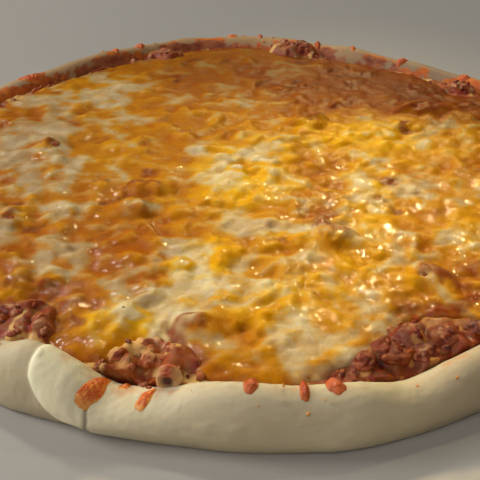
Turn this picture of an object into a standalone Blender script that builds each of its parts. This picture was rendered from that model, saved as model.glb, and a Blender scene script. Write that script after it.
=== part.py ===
"""A whole home-baked pizza: a pale raised rim of dough, meat sauce, melted cheese.

The dough is a shallow dish with an uneven rim. A layer of meat in sauce fills it, and a
sheet of melted cheese lies on that, stopping short of the rim where the meat shows. Larger
lumps of meat lie on both layers, and cheese that ran over the rim is baked onto it.
All sizes are in metres, +Z is up, and the pizza rests on z = 0. An azimuth is in degrees,
anticlockwise from +X seen from above, so that -90 is the front.
"""

import math

import bmesh
import bpy
from mathutils import Vector, noise
from mathutils.bvhtree import BVHTree

MM = 0.001

# Dough: the rim's outline and its cross-section.
PIZZA_RADIUS = 165 * MM
RIM_HEIGHT = 20 * MM
RIM_WIDTH = 18 * MM
CREST_INSET = 10 * MM
WIDEST_HEIGHT = 7 * MM
HEEL_INSET = 3.6 * MM
FLOOR_THICKNESS = 6.5 * MM
RIM_STEP = 3

# How far a hand-shaped rim departs from a circle: lobes round the edge, size, azimuth.
OUTLINE_LOBES = ((2, 0.9, -17), (3, 2.7, -3), (4, 1.9, 7), (5, 2.3, 19), (6, 2.2, -21))
# Swells and slumps of the rim's crest: azimuth, half-width in degrees, rise.
CREST_SWELLS = (
    (-117.5, 3.2, 5.0),
    (-107.5, 4.0, -6.5),
    (-102.0, 4.5, -5.0),
    (-91.0, 6.0, 1.6),
    (-71.5, 5.0, -4.0),
    (-45.0, 9.0, 1.8),
    (-14.0, 8.0, -2.6),
    (14.0, 9.0, 1.5),
    (44.0, 7.0, -1.5),
    (66.0, 6.0, 1.2),
    (98.0, 9.0, -1.0),
    (127.0, 7.0, 1.4),
    (152.0, 8.0, -1.2),
    (178.0, 9.0, 2.0),
    (-155.0, 8.0, -2.8),
    (-136.0, 6.0, 1.8),
)
# The fold where one end of the rolled rim laps over the other. Its crease is an arc from foot
# to crest, leftmost at a share of the height. Past the crease the lap swells like a quarter
# round, then fades to the right. The steps from column to column are finer there.
FOLD_LEFTMOST, FOLD_LEVEL, FOLD_SWEEP = -116.3, 0.92, 9.6
FOLD_EDGE, FOLD_ROUND, FOLD_FADE = 0.35, 4.6, 7.0
FOLD_LOW_SHARE = 0.18
FOLD_BULGE = 3.4 * MM
FOLD_FROM, FOLD_STEP, FOLD_STEPS = -120.0, 0.75, 22

# Filling.
CLEARANCE = 0.45 * MM
MEAT_SAUCE_DEPTH = 8.0 * MM
MEAT_SAUCE_EDGE_HEIGHT = 14.0 * MM
MEAT_SAUCE_BELOW_CREST = 3.0 * MM
CHEESE_THICKNESS = 4.2 * MM
CHEESE_EDGE_THICKNESS = 1.0 * MM
CHEESE_SEGMENTS = 90
CHEESE_FOOT = 5.0 * MM
# Where the cheese stops short of the rim: azimuth, half-width in degrees, gap.
CHEESE_GAPS = (
    (-66.0, 10.0, 17.0),
    (-104.0, 5.0, 12.0),
    (-124.0, 5.0, 11.0),
    (-30.0, 7.0, 6.0),
    (18.0, 9.0, 7.0),
    (38.0, 6.0, 9.0),
    (78.0, 6.0, 6.0),
    (108.0, 11.0, 5.0),
    (150.0, 8.0, 5.0),
    (-178.0, 7.0, 8.0),
    (-150.0, 6.0, 7.0),
)
CHEESE_LEAST_GAP = 1.2 * MM

# Lumps of ground meat: azimuth, distance from the middle, length, width, height, turn.
LUMPS_ON_SAUCE = (
    (-126.5, 141.0, 11.0, 8.0, 6.0, 20),
    (-122.0, 139.0, 9.0, 7.0, 5.5, 70),
    (-108.6, 141.5, 9.0, 7.0, 5.0, 10),
    (-105.0, 139.0, 10.0, 8.0, 5.5, 60),
    (-101.4, 137.5, 9.0, 8.0, 6.0, 30),
    (-76.0, 143.0, 9.0, 7.0, 5.0, 80),
    (-72.0, 140.5, 10.0, 8.0, 6.0, 15),
    (-67.6, 143.5, 9.5, 7.5, 5.5, 50),
    (-67.6, 133.5, 11.0, 9.0, 6.5, 35),
    (-62.8, 139.0, 10.0, 8.0, 6.5, 75),
    (-58.0, 142.0, 9.0, 7.0, 5.0, 5),
    (-178.0, 143.0, 10.0, 8.0, 5.5, 40),
    (78.0, 147.0, 14.0, 12.0, 6.0, 0),
    (110.0, 144.0, 9.0, 7.0, 5.0, 25),
    (38.0, 141.5, 10.0, 8.0, 5.5, 65),
)
LUMPS_ON_CHEESE = (
    (-137.0, 66.0, 10.0, 6.0, 3.6, 40),
    (-147.0, 52.0, 11.0, 7.0, 3.8, 10),
    (53.0, 47.0, 11.0, 7.0, 3.6, 15),
    (-66.0, 76.0, 10.0, 8.0, 3.8, 70),
    (-56.0, 111.0, 11.0, 9.0, 4.4, 20),
    (32.0, 103.0, 15.0, 8.0, 4.0, 5),
    (-152.0, 112.0, 10.0, 7.0, 3.8, 60),
    (-98.0, 122.0, 11.0, 8.0, 4.6, 85),
    (172.0, 96.0, 10.0, 7.0, 3.6, 30),
)
LUMP_ROUGHNESS = 0.3
LUMP_FOOT = 1.6 * MM
LUMP_SUNK = 0.2

# The hollow cheese bubble that stands against the rim at the front.
BUBBLE_AZIMUTH = -100.4
BUBBLE_DISTANCE = 147.6 * MM
BUBBLE_SIZE = (9.0 * MM, 5.0 * MM, 8.0 * MM)

# Cheese baked onto the rim: azimuth, start and end on the section, width, slant, thickness.
# On the section 0 is the rim's widest line, 1 its crest and 2 the foot of its inner wall.
DRIPS = (
    (-108.7, 1.26, 0.38, 6.4, -0.6, 1.2),
    (-105.9, 1.30, 0.86, 5.0, 0.0, 0.9),
    (-102.8, 1.20, 0.55, 5.0, -0.9, 1.1),
    (-90.6, 1.30, 0.80, 4.5, -0.3, 1.2),
    (-84.9, 1.30, 0.62, 4.0, 0.0, 1.4),
    (-81.2, 1.35, 0.78, 6.0, 0.9, 1.4),
    (-123.0, 1.25, 0.85, 5.0, 0.0, 0.9),
    (93.7, 1.15, 0.62, 10.0, 0.0, 1.3),
    (87.6, 1.10, 0.70, 5.0, 0.0, 1.8),
    (74.3, 1.40, 0.62, 5.5, 0.4, 2.2),
    (65.7, 1.25, 0.75, 5.0, 0.5, 1.3),
    (53.8, 1.45, 0.66, 9.0, 0.0, 1.6),
    (39.6, 1.45, 0.60, 10.0, 0.6, 1.6),
    (114.5, 1.30, 0.66, 10.0, 0.0, 1.4),
    (120.4, 1.20, 0.70, 7.0, 0.0, 1.3),
    (141.5, 1.45, 0.70, 26.0, 0.0, 1.3),
    (-163.0, 1.30, 0.60, 6.0, 0.4, 1.2),
    (-30.0, 1.30, 0.66, 6.0, -0.4, 1.2),
    (8.0, 1.30, 0.60, 6.0, 0.3, 1.2),
)
DRIP_SPOKES = 8
DRIP_SQUARENESS = 0.75
DRIP_TAPER = 0.35
# The rings of a drip's underside, as shares of its size. It is hollowed a little, so that its
# flat faces stay clear of the round rim.
DRIP_UNDERSIDE = ((0.3, 0.35 * MM), (0.65, 0.22 * MM), (1, 0.12 * MM))

COLOURS = {
    "dough": ((0.62, 0.52, 0.36), 0.7),
    "meat_sauce": ((0.24, 0.045, 0.018), 0.35),
    "cheese": ((0.72, 0.38, 0.07), 0.3),
    "ground_meat": ((0.17, 0.065, 0.04), 0.45),
    "baked_cheese": ((0.58, 0.16, 0.03), 0.4),
}


def bell(angle, middle, half_width):
    """A smooth bump in azimuth, 1 at its middle, that wraps round at 180 degrees."""
    away = (angle - middle + 180) % 360 - 180
    return math.exp(-((away / half_width) ** 2))


def outer_radius(azimuth):
    """The dough's widest reach at an azimuth, with the lobes of a hand-shaped edge."""
    lobes = sum(
        size * math.cos(math.radians(count * (azimuth - middle)))
        for count, size, middle in OUTLINE_LOBES
    )
    return PIZZA_RADIUS + lobes * MM


def fold_bulge(azimuth, turn, climb):
    """How proud the overlapping end of the rim stands: a quarter round, then a fade."""
    past = azimuth - (FOLD_LEFTMOST + FOLD_SWEEP * (climb - FOLD_LEVEL) ** 2)
    step = 0.5 + 0.5 * math.tanh(past / FOLD_EDGE)
    near = min(max(past / FOLD_ROUND, 0.0), 1.0)
    rounded = FOLD_LOW_SHARE + (1 - FOLD_LOW_SHARE) * math.sqrt(1 - (1 - near) ** 2)
    fade = math.exp(-max(past - FOLD_ROUND, 0.0) / FOLD_FADE)
    from_foot = min(1.0, 1 + turn) ** 2
    down_inner_wall = max(0.0, 1 - max(turn - 1, 0.0) * 1.5)
    return FOLD_BULGE * step * rounded * fade * from_foot * down_inner_wall


def crest_height(azimuth):
    """The height of the rim's crest, with its swells and slumps."""
    return RIM_HEIGHT + MM * sum(
        rise * bell(azimuth, middle, half_width) for middle, half_width, rise in CREST_SWELLS
    )


def polar(azimuth, distance, height):
    angle = math.radians(azimuth)
    return Vector((distance * math.cos(angle), distance * math.sin(angle), height))


def rim_azimuths():
    """Steps round the rim, finer through the fold."""
    through_fold = (FOLD_FROM + FOLD_STEP * step for step in range(FOLD_STEPS))
    return sorted({*range(-180, 180, RIM_STEP), *through_fold})


def middle_of_outline():
    """The middle of the outline's bounding box, which becomes the origin."""
    edge = [polar(a, outer_radius(a), 0) for a in rim_azimuths()]
    return Vector(
        (
            (min(p.x for p in edge) + max(p.x for p in edge)) / 2,
            (min(p.y for p in edge) + max(p.y for p in edge)) / 2,
            0,
        )
    )


def rim_point(azimuth, turn, proud=0.0):
    """A point of the rim's section, made of quarter ellipses.

    turn is -1 at the heel on the baking sheet, 0 at the widest line, 1 at the crest and 2 at
    the foot of the inner wall. proud lifts the point off the dough along its normal.
    """
    height, angle = crest_height(azimuth), math.radians(90 * turn)
    if turn < 0:
        across, up = HEEL_INSET, WIDEST_HEIGHT
        inset, z = across * (1 - math.cos(angle)), up * (1 + math.sin(angle))
    elif turn <= 1:
        across, up = CREST_INSET, height - WIDEST_HEIGHT
        inset, z = across * (1 - math.cos(angle)), WIDEST_HEIGHT + up * math.sin(angle)
    else:
        across, up = RIM_WIDTH - CREST_INSET, height - FLOOR_THICKNESS
        inset, z = CREST_INSET - across * math.cos(angle), FLOOR_THICKNESS + up * math.sin(angle)
    normal = Vector((up * math.cos(angle), across * math.sin(angle))).normalized()
    proud += fold_bulge(azimuth, turn, z / height)
    return polar(azimuth, outer_radius(azimuth) - inset + proud * normal.x, z + proud * normal.y)


def inner_wall_radius(azimuth, height):
    """How far out the rim's inner wall is at a height above the dough's floor."""
    rise = (height - FLOOR_THICKNESS) / (crest_height(azimuth) - FLOOR_THICKNESS)
    across = RIM_WIDTH - CREST_INSET
    return outer_radius(azimuth) - CREST_INSET - across * math.sqrt(max(0.0, 1 - rise * rise))


def material(name):
    """A plain Principled BSDF in the part's own colour."""
    made = bpy.data.materials.get(name) or bpy.data.materials.new(name)
    made.use_nodes = True
    colour, roughness = COLOURS[name]
    shader = made.node_tree.nodes["Principled BSDF"]
    shader.inputs["Base Color"].default_value = (*colour, 1)
    shader.inputs["Roughness"].default_value = roughness
    shader.inputs["Metallic"].default_value = 0
    made.diffuse_color = (*colour, 1)
    return made


def finish(name, bm, material_name):
    """The mesh as a named object, closed, facing outwards and smooth, moved to the origin."""
    bmesh.ops.recalc_face_normals(bm, faces=bm.faces)
    if bm.calc_volume(signed=True) < 0:
        bmesh.ops.reverse_faces(bm, faces=bm.faces)
    bmesh.ops.translate(bm, vec=-ORIGIN, verts=bm.verts)
    mesh = bpy.data.meshes.new(name)
    bm.to_mesh(mesh)
    bm.free()
    mesh.shade_smooth()
    mesh.materials.append(material(material_name))
    made = bpy.data.objects.new(name, mesh)
    bpy.context.scene.collection.objects.link(made)
    return made


def stacked_rings(rings):
    """A closed mesh through rings of points, each ring bridged to the next, both ends capped."""
    bm = bmesh.new()
    loops = []
    for ring in rings:
        verts = [bm.verts.new(p) for p in ring]
        loops.append([bm.edges.new((a, b)) for a, b in zip(verts, verts[1:] + verts[:1])])
    for lower, upper in zip(loops, loops[1:]):
        bmesh.ops.bridge_loops(bm, edges=lower + upper)
    for loop in (loops[0], loops[-1]):
        centre = bmesh.ops.poke(bm, faces=bmesh.ops.contextual_create(bm, geom=loop)["faces"])
        assert centre["verts"]
    return bm


def make_crust():
    """The dough dish: heel, outer wall, crest and inner wall as rings, then its flat floor."""
    turns = (-1, -0.5, 0, 0.33, 0.66, 1, 1.33, 1.66, 2)
    rings = [[rim_point(a, turn) for a in rim_azimuths()] for turn in turns]
    return finish("crust", stacked_rings(rings), "dough")


def undulation(point, wavelength, seed):
    """Smooth relief from -1 to 1 whose swells are about a wavelength apart."""
    return noise.noise(Vector((point.x, point.y, seed * wavelength)) / wavelength * 2)


def meat_sauce_height(azimuth, share):
    """The top of the meat sauce at a share of the way from the middle to the rim."""
    middle = FLOOR_THICKNESS + MEAT_SAUCE_DEPTH
    edge = min(MEAT_SAUCE_EDGE_HEIGHT, crest_height(azimuth) - MEAT_SAUCE_BELOW_CREST)
    blend = max(0.0, (share - 0.55) / 0.45) ** 1.6
    return middle + (edge - middle) * blend


def make_meat_sauce():
    """The layer of meat in sauce: flat below, following the rim's wall, gently uneven above."""
    bottom, around, rings = FLOOR_THICKNESS + CLEARANCE, rim_azimuths(), []
    for rise in (0, 0.65):
        heights = [bottom + (meat_sauce_height(a, 1) - bottom) * rise for a in around]
        radii = [inner_wall_radius(a, z) - CLEARANCE for a, z in zip(around, heights)]
        rings.append([polar(*place) for place in zip(around, radii, heights)])
    for share in (1, 0.85, 0.6, 0.3):
        ring = []
        for a in around:
            z = meat_sauce_height(a, share)
            point = polar(a, (inner_wall_radius(a, z) - CLEARANCE) * share, z)
            point.z += 0.7 * MM * undulation(point, 45 * MM, 3) * (1 - share)
            ring.append(point)
        rings.append(ring)
    return finish("meat_sauce", stacked_rings(rings), "meat_sauce")


def cheese_reach(azimuth):
    """How far out the cheese comes at an azimuth."""
    gap = CHEESE_LEAST_GAP + MM * sum(
        size * bell(azimuth, middle, half_width) for middle, half_width, size in CHEESE_GAPS
    )
    return inner_wall_radius(azimuth, meat_sauce_height(azimuth, 1)) - gap


def surface_of(*objects, around=0.0):
    """A function that gives the height of the highest of these objects about a point."""
    steps = [Vector((0, 0, 0))] + [polar(60 * i, around, 0) for i in range(6 if around else 0)]
    trees = []
    for made in objects:
        bm = bmesh.new()
        bm.from_mesh(made.data)
        trees.append(BVHTree.FromBMesh(bm))
        bm.free()

    def height_at(point):
        starts = [Vector((point.x, point.y, 1)) - ORIGIN + step for step in steps]
        hits = [tree.ray_cast(start, Vector((0, 0, -1)))[0] for tree in trees for start in starts]
        return max((hit.z for hit in hits if hit), default=0.0)

    return height_at


def cheese_thickness(point, share):
    """Melted cheese: thick in the middle, thin and rounded at its edge, lumpy all over."""
    edge = math.sqrt(max(0.0, 1 - share**4))
    heap = 1.4 * MM * math.exp(-((point - polar(-35, 45 * MM, 0)).xy.length / (55 * MM)) ** 2)
    lumps = 1.5 * MM * undulation(point, 40 * MM, 5) + 0.9 * MM * undulation(point, 22 * MM, 8)
    from_middle = min(1.0, share / 0.4)
    thick = CHEESE_THICKNESS - CHEESE_EDGE_THICKNESS + heap + lumps * from_middle
    return CHEESE_EDGE_THICKNESS + max(thick, 0.6 * MM) * edge


def make_cheese(meat_sauce):
    """The sheet of melted cheese over the meat sauce, with its uneven edge."""
    sauce_at = surface_of(meat_sauce, around=CHEESE_FOOT)
    around = [360 * i / CHEESE_SEGMENTS for i in range(CHEESE_SEGMENTS)]

    def ring(share, proud):
        points = [polar(a, cheese_reach(a) * share, 0) for a in around]
        for point in points:
            point.z = sauce_at(point) + CLEARANCE
            point.z += cheese_thickness(point, share) if proud else 0
        return points

    rings = [ring(share, False) for share in (0.2, 0.5, 0.8, 0.93, 1)]
    rings += [ring(share, True) for share in (1, 0.97, 0.9, 0.8, 0.67, 0.53, 0.38, 0.2)]
    return finish("cheese", stacked_rings(rings), "cheese")


def make_lump(name, place, seed):
    """A knobbly lump of ground meat, its underside lying on the surface below it."""
    azimuth, distance, length, width, height, turn = place
    centre = polar(azimuth, distance * MM, 0)
    bm = bmesh.new()
    bmesh.ops.create_icosphere(bm, subdivisions=2, radius=0.5)
    swing = math.radians(turn)
    for vert in bm.verts:
        knobs = 1 + LUMP_ROUGHNESS * noise.noise(vert.co * 4 + Vector((seed, 0, 0)))
        local = Vector((vert.co.x * length, vert.co.y * width, vert.co.z * height)) * knobs * MM
        point = centre + Vector(
            (
                local.x * math.cos(swing) - local.y * math.sin(swing),
                local.x * math.sin(swing) + local.y * math.cos(swing),
                0,
            )
        )
        rest = surface_at(point) + CLEARANCE
        point.z = rest + max(0, local.z + height * MM * (0.5 - LUMP_SUNK))
        vert.co = point
    return finish(name, bm, "ground_meat")


def make_bubble():
    """The bubble of cheese, an upright rounded lump against the rim."""
    centre = polar(BUBBLE_AZIMUTH, BUBBLE_DISTANCE, 0)
    outward = polar(BUBBLE_AZIMUTH, 1, 0)
    across = Vector((-outward.y, outward.x, 0))
    bm = bmesh.new()
    bmesh.ops.create_icosphere(bm, subdivisions=2, radius=0.5)
    for vert in bm.verts:
        wide, deep, high = (share * size for share, size in zip(vert.co, BUBBLE_SIZE))
        point = centre + across * wide + outward * deep
        rest = surface_at(point) + CLEARANCE
        point.z = rest + max(0, high + BUBBLE_SIZE[2] * (0.5 - LUMP_SUNK))
        vert.co = point
    return finish("cheese_bubble", bm, "baked_cheese")


def drip_outline(around):
    """A blunt drop, as how far along and across it is, narrower where it left the filling."""
    along, across = (
        math.copysign(abs(part) ** DRIP_SQUARENESS, part)
        for part in (math.cos(around), math.sin(around))
    )
    return along, across * (1 - DRIP_TAPER * (1 + along) / 2)


def make_drip(name, place):
    """A flat drop of baked cheese wrapped over the rim from its inner to its outer side."""
    azimuth, start, end, width, slant, thickness = place
    middle, reach = (start + end) / 2, (start - end) / 2
    half_width = math.degrees(width * MM / 2 / (PIZZA_RADIUS - CREST_INSET))

    def ring(share, proud):
        points = []
        for i in range(DRIP_SPOKES):
            along, across = drip_outline(2 * math.pi * i / DRIP_SPOKES)
            aside = share * (across * half_width - along * slant)
            points.append(rim_point(azimuth + aside, middle + share * along * reach, proud))
        return points

    rings = [ring(share, CLEARANCE + lift) for share, lift in DRIP_UNDERSIDE]
    rings.append(ring(0.85, CLEARANCE + 0.75 * thickness * MM))
    rings.append(ring(0.4, CLEARANCE + thickness * MM))
    return finish(name, stacked_rings(rings), "baked_cheese")


for existing in list(bpy.data.objects):
    bpy.data.objects.remove(existing)

ORIGIN = middle_of_outline()

crust = make_crust()
meat_sauce = make_meat_sauce()
cheese = make_cheese(meat_sauce)
surface_at = surface_of(crust, meat_sauce, cheese, around=LUMP_FOOT)
for number, place in enumerate(LUMPS_ON_SAUCE + LUMPS_ON_CHEESE, 1):
    make_lump(f"meat_lump_{number:02d}", place, number)
make_bubble()
for number, place in enumerate(DRIPS, 1):
    make_drip(f"cheese_drip_{number:02d}", place)
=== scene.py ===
# %% [markdown]
# # A whole home-baked pizza
#
# The solids of this pizza already exist: a dish of dough with an uneven rim, a layer of meat in
# sauce, a sheet of cheese, lumps of ground meat and drops of cheese baked onto the rim. They are
# the frame. This lesson dresses each of them with a finer surface and a finish of its own, then
# scatters what is too small to be a solid.
#
# Nearly every shape here is a height or a radius worked out for a whole grid of points at once.
# Lengths are in millimetres until a mesh is made, because food is easier to think of that way.

# %% The frame
import math

import bpy
import numpy as np
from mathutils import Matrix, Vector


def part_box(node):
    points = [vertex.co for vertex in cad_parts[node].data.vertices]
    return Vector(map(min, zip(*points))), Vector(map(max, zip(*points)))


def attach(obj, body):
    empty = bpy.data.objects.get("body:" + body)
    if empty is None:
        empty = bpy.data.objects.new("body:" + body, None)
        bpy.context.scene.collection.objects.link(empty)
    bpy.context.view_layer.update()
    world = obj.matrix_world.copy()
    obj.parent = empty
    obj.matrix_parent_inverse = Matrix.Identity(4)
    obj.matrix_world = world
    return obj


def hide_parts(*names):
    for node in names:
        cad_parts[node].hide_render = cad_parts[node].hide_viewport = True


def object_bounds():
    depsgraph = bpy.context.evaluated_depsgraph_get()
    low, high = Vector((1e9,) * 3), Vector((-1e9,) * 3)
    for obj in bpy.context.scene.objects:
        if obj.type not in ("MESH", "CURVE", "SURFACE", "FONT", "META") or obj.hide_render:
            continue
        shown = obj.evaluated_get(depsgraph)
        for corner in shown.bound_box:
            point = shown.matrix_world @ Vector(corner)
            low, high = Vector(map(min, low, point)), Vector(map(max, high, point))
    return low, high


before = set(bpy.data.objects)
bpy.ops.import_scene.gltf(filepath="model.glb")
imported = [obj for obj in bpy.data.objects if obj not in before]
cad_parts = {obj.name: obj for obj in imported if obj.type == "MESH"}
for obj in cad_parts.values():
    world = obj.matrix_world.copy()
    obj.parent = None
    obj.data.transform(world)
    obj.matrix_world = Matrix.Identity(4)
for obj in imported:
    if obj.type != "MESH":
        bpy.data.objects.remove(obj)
cad_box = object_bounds()
MM = 0.001
low, high = (np.array(corner) / MM for corner in cad_box)
print("the pizza is", np.round(high - low, 1), "mm")

# %% [markdown]
# ## Where the rim runs
#
# A hand-shaped pizza is never a circle. Its edge is a circle with a few low lobes, each a cosine
# that goes round a whole number of times, so the edge meets itself. The solids were made with
# these same lobes, and laying the edge's own box over the solid's box gives the centre that all
# azimuths are measured from.

# %% The outline and its centre
RADIUS = 165.0
LOBES = ((2, 0.9, -17), (3, 2.7, -3), (4, 1.9, 7), (5, 2.3, 19), (6, 2.2, -21))


def outline(azimuth):
    """The rim's widest reach: the radius plus one cosine for each lobe."""
    return RADIUS + sum(size * np.cos(np.radians(n * (azimuth - at))) for n, size, at in LOBES)


def polar(azimuth, distance, height):
    """Points from azimuths in degrees, distances from the centre and heights, as rows of xyz."""
    angle = np.radians(azimuth)
    return np.stack(np.broadcast_arrays(distance * np.cos(angle), distance * np.sin(angle), height), -1)


around = np.arange(-180, 180, 0.5)
edge = polar(around, outline(around), 0)
crust_low, crust_high = (np.array(corner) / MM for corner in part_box("crust"))
centre = (crust_low + crust_high) / 2 - (edge.min(0) + edge.max(0)) / 2
centre[2] = 0
print("the centre is at", np.round(centre, 2), "mm")

# %% [markdown]
# ## The rim's section
#
# The rim is a roll of dough: it rests on a narrow heel, bulges to its widest line, rises to a
# crest and falls steeply inside. Three quarter ellipses describe it, and one number, the turn,
# says how far round the section a point lies: -1 at the heel, 0 at the widest line, 1 at the
# crest and 2 at the foot of the inner wall.
#
# The crest swells and slumps. At one place the end of the roll laps over its beginning. That
# fold is a step along a curved crease, sharp on one side and fading away on the other.

# %% Rim measures
CREST_INSET = 10.0
RIM_WIDTH = 18.0
WIDEST_HEIGHT = 7.0
HEEL_INSET = 3.6
FLOOR = 6.5
CREST = 20.0
SWELLS = (
    (-117.5, 3.2, 5.0), (-107.5, 4.0, -6.5), (-102.0, 4.5, -5.0), (-91.0, 6.0, 1.6),
    (-71.5, 5.0, -4.0), (-45.0, 9.0, 1.8), (-14.0, 8.0, -2.6), (14.0, 9.0, 1.5),
    (44.0, 7.0, -1.5), (66.0, 6.0, 1.2), (98.0, 9.0, -1.0), (127.0, 7.0, 1.4),
    (152.0, 8.0, -1.2), (178.0, 9.0, 2.0), (-155.0, 8.0, -2.8), (-136.0, 6.0, 1.8),
)
FOLD_LEFTMOST, FOLD_LEVEL, FOLD_SWEEP = -116.3, 0.92, 9.6
FOLD_EDGE, FOLD_ROUND, FOLD_FADE, FOLD_BULGE = 0.35, 4.6, 7.0, 3.4


def bell(azimuth, middle, half_width):
    """A smooth bump in azimuth that wraps round: e to the minus the squared distance."""
    away = (azimuth - middle + 180) % 360 - 180
    return np.exp(-((away / half_width) ** 2))


def bells(azimuth, *places):
    """The sum of several bells, each given as its azimuth, half width and height."""
    return sum(tall * bell(azimuth, at, half) for at, half, tall in places)


def crest_height(azimuth):
    """The crest's height: the usual height plus a bell for each swell or slump."""
    return CREST + bells(azimuth, *SWELLS)


def past_crease(azimuth, climb):
    """Degrees past the crease of the fold: an arc in azimuth and in a share of the height."""
    return azimuth - (FOLD_LEFTMOST + FOLD_SWEEP * (climb - FOLD_LEVEL) ** 2)


def fold_bulge(azimuth, turn, climb):
    """How proud the lapping end stands: a quarter round behind a curved crease, then a fade."""
    past = past_crease(azimuth, climb)
    step = 0.5 + 0.5 * np.tanh(past / FOLD_EDGE)
    near = np.clip(past / FOLD_ROUND, 0, 1)
    rounded = 0.18 + 0.82 * np.sqrt(1 - (1 - near) ** 2)
    fading = np.exp(-np.maximum(past - FOLD_ROUND, 0) / FOLD_FADE)
    from_foot = np.clip(1 + turn, 0, 1) ** 2
    down_inside = np.clip(1 - np.maximum(turn - 1, 0) * 1.5, 0, 1)
    return FOLD_BULGE * step * rounded * fading * from_foot * down_inside


def rim_point(azimuth, turn, proud=0.0):
    """A point of the rim: quarter ellipses in the section, pushed out along their normal."""
    azimuth, turn, proud = np.broadcast_arrays(*(np.asarray(v, float) for v in (azimuth, turn, proud)))
    height, angle = crest_height(azimuth), np.radians(90 * turn)
    across = np.select([turn < 0, turn <= 1], [HEEL_INSET, CREST_INSET], RIM_WIDTH - CREST_INSET)
    base = np.where(turn <= 1, WIDEST_HEIGHT, FLOOR)
    up = np.where(turn < 0, WIDEST_HEIGHT, height - base)
    inset = np.where(turn <= 1, across * (1 - np.cos(angle)), CREST_INSET - across * np.cos(angle))
    z = base + up * np.sin(angle)
    out, rise = up * np.cos(angle), across * np.sin(angle)
    proud = (proud + fold_bulge(azimuth, turn, z / height)) / np.hypot(out, rise)
    return polar(azimuth, outline(azimuth) - inset + proud * out, z + proud * rise)


def inner_wall(azimuth, height):
    """How far out the rim's inner wall is at a height above the floor of the dish."""
    rise = np.clip((height - FLOOR) / (crest_height(azimuth) - FLOOR), 0, 1)
    return outline(azimuth) - CREST_INSET - (RIM_WIDTH - CREST_INSET) * np.sqrt(1 - rise**2)


print("the crest runs from", *np.round([crest_height(around).min(), crest_height(around).max()], 1), "mm")

# %% [markdown]
# ## Helpers
#
# `swells` is relief: it adds up waves that run in random directions through space, so it fits any
# surface without a seam. `smooth` is a soft step, for edges that fade. `make_piece` turns points
# and faces into a smoothly shaded mesh, hands it to the frame, and can store colours on the
# points for a finish to read. `tube_faces` lists the faces of a surface made of closed rings with
# a point at either end, and `close_rings` adds those two points.

# %% Relief, meshes and faces
def swells(points, size, seed, waves=20):
    """Smooth relief with a spread of 1: a sum of cosines in random directions of one wavelength."""
    rng = np.random.default_rng(seed)
    ways = rng.normal(size=(waves, 3))
    ways *= (rng.uniform(0.7, 1.4, waves) * 2 * np.pi / size / np.linalg.norm(ways, axis=1))[:, None]
    total = np.zeros(points.shape[:-1])
    for way, phase in zip(ways, rng.uniform(0, 2 * np.pi, waves)):
        total += np.cos(points @ way + phase)
    return total * math.sqrt(2 / waves)


def smooth(value, start, end):
    """An S-shaped step from 0 to 1 between two values."""
    share = np.clip((value - start) / (end - start), 0, 1)
    return share * share * (3 - 2 * share)


def new_object(name, data):
    """An object in the scene that holds a mesh, a light or a camera."""
    made = bpy.data.objects.new(name, data)
    bpy.context.scene.collection.objects.link(made)
    return made


def make_piece(name, points, faces, finish, replaces=(), paint=None):
    """A mesh piece from points in millimetres and lists of faces, riding on the pizza."""
    mesh = bpy.data.meshes.new(name)
    mesh.vertices.add(len(points))
    mesh.vertices.foreach_set("co", ((points + centre) * MM).astype(np.float32).ravel())
    corners = np.concatenate([block.ravel() for block in faces])
    sizes = np.concatenate([np.full(len(block), block.shape[1]) for block in faces])
    mesh.loops.add(len(corners))
    mesh.loops.foreach_set("vertex_index", corners.astype(np.int32))
    mesh.polygons.add(len(sizes))
    mesh.polygons.foreach_set("loop_start", (np.cumsum(sizes) - sizes).astype(np.int32))
    mesh.update(calc_edges=True)
    mesh.shade_smooth()
    if paint is not None:
        layer = mesh.attributes.new("paint", "FLOAT_COLOR", "POINT")
        layer.data.foreach_set("color", paint.astype(np.float32).ravel())
    mesh.materials.append(finish)
    piece = new_object(name, mesh)
    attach(piece, "root")
    if replaces:
        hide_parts(*replaces)
    print(f"{name}: {len(points)} points, {int((sizes - 2).sum())} triangles")


def tube_faces(rows, columns, first=0):
    """Faces of rings of points plus a closing point before and after them, facing outwards."""
    ring = np.arange(columns)
    after = np.roll(ring, -1)
    starts = first + 1 + np.arange(rows - 1)[:, None] * columns
    above = starts + columns
    quads = np.stack([starts + ring, starts + after, above + after, above + ring], -1)
    last_ring = first + 1 + (rows - 1) * columns
    start_point, end_point = first, last_ring + columns
    start_fan = np.stack([np.full(columns, start_point), first + 1 + after, first + 1 + ring], -1)
    end_fan = np.stack([np.full(columns, end_point), last_ring + ring, last_ring + after], -1)
    return [quads.reshape(-1, 4), start_fan, end_fan]


def many_tubes(count, rows, columns):
    """The faces of several such surfaces whose points follow one another."""
    each = [tube_faces(rows, columns, first=(rows * columns + 2) * k) for k in range(count)]
    return [np.concatenate(blocks) for blocks in zip(*each)]


def close_rings(rings):
    """Rings of points, or of their paint, as a flat list with the middle of each end ring."""
    flat_list = rings.reshape(-1, rings.shape[-1])
    return np.concatenate([rings[0].mean(0)[None], flat_list, rings[-1].mean(0)[None]])


# %% [markdown]
# ## Finishes are small node graphs
#
# Each finish is one Principled shader. What is the same all over, such as gloss or how deep the
# light gets, is typed on the shader. What varies is a chain of nodes: noise at a size given in
# millimetres, a ramp of colours, a mix, a bump. `new_finish` starts a material, and the other
# functions add one node each to the material started last, so that a finish reads as a list of
# decisions.

# %% Node helpers
building = {}


def colour(red, green, blue):
    """A colour picked on a screen, from 0 to 255, as the linear light that a shader wants."""
    screen = np.array([red, green, blue]) / 255
    linear = np.where(screen <= 0.04045, screen / 12.92, ((screen + 0.055) / 1.055) ** 2.4)
    return (*(float(v) for v in linear), 1.0)


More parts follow.
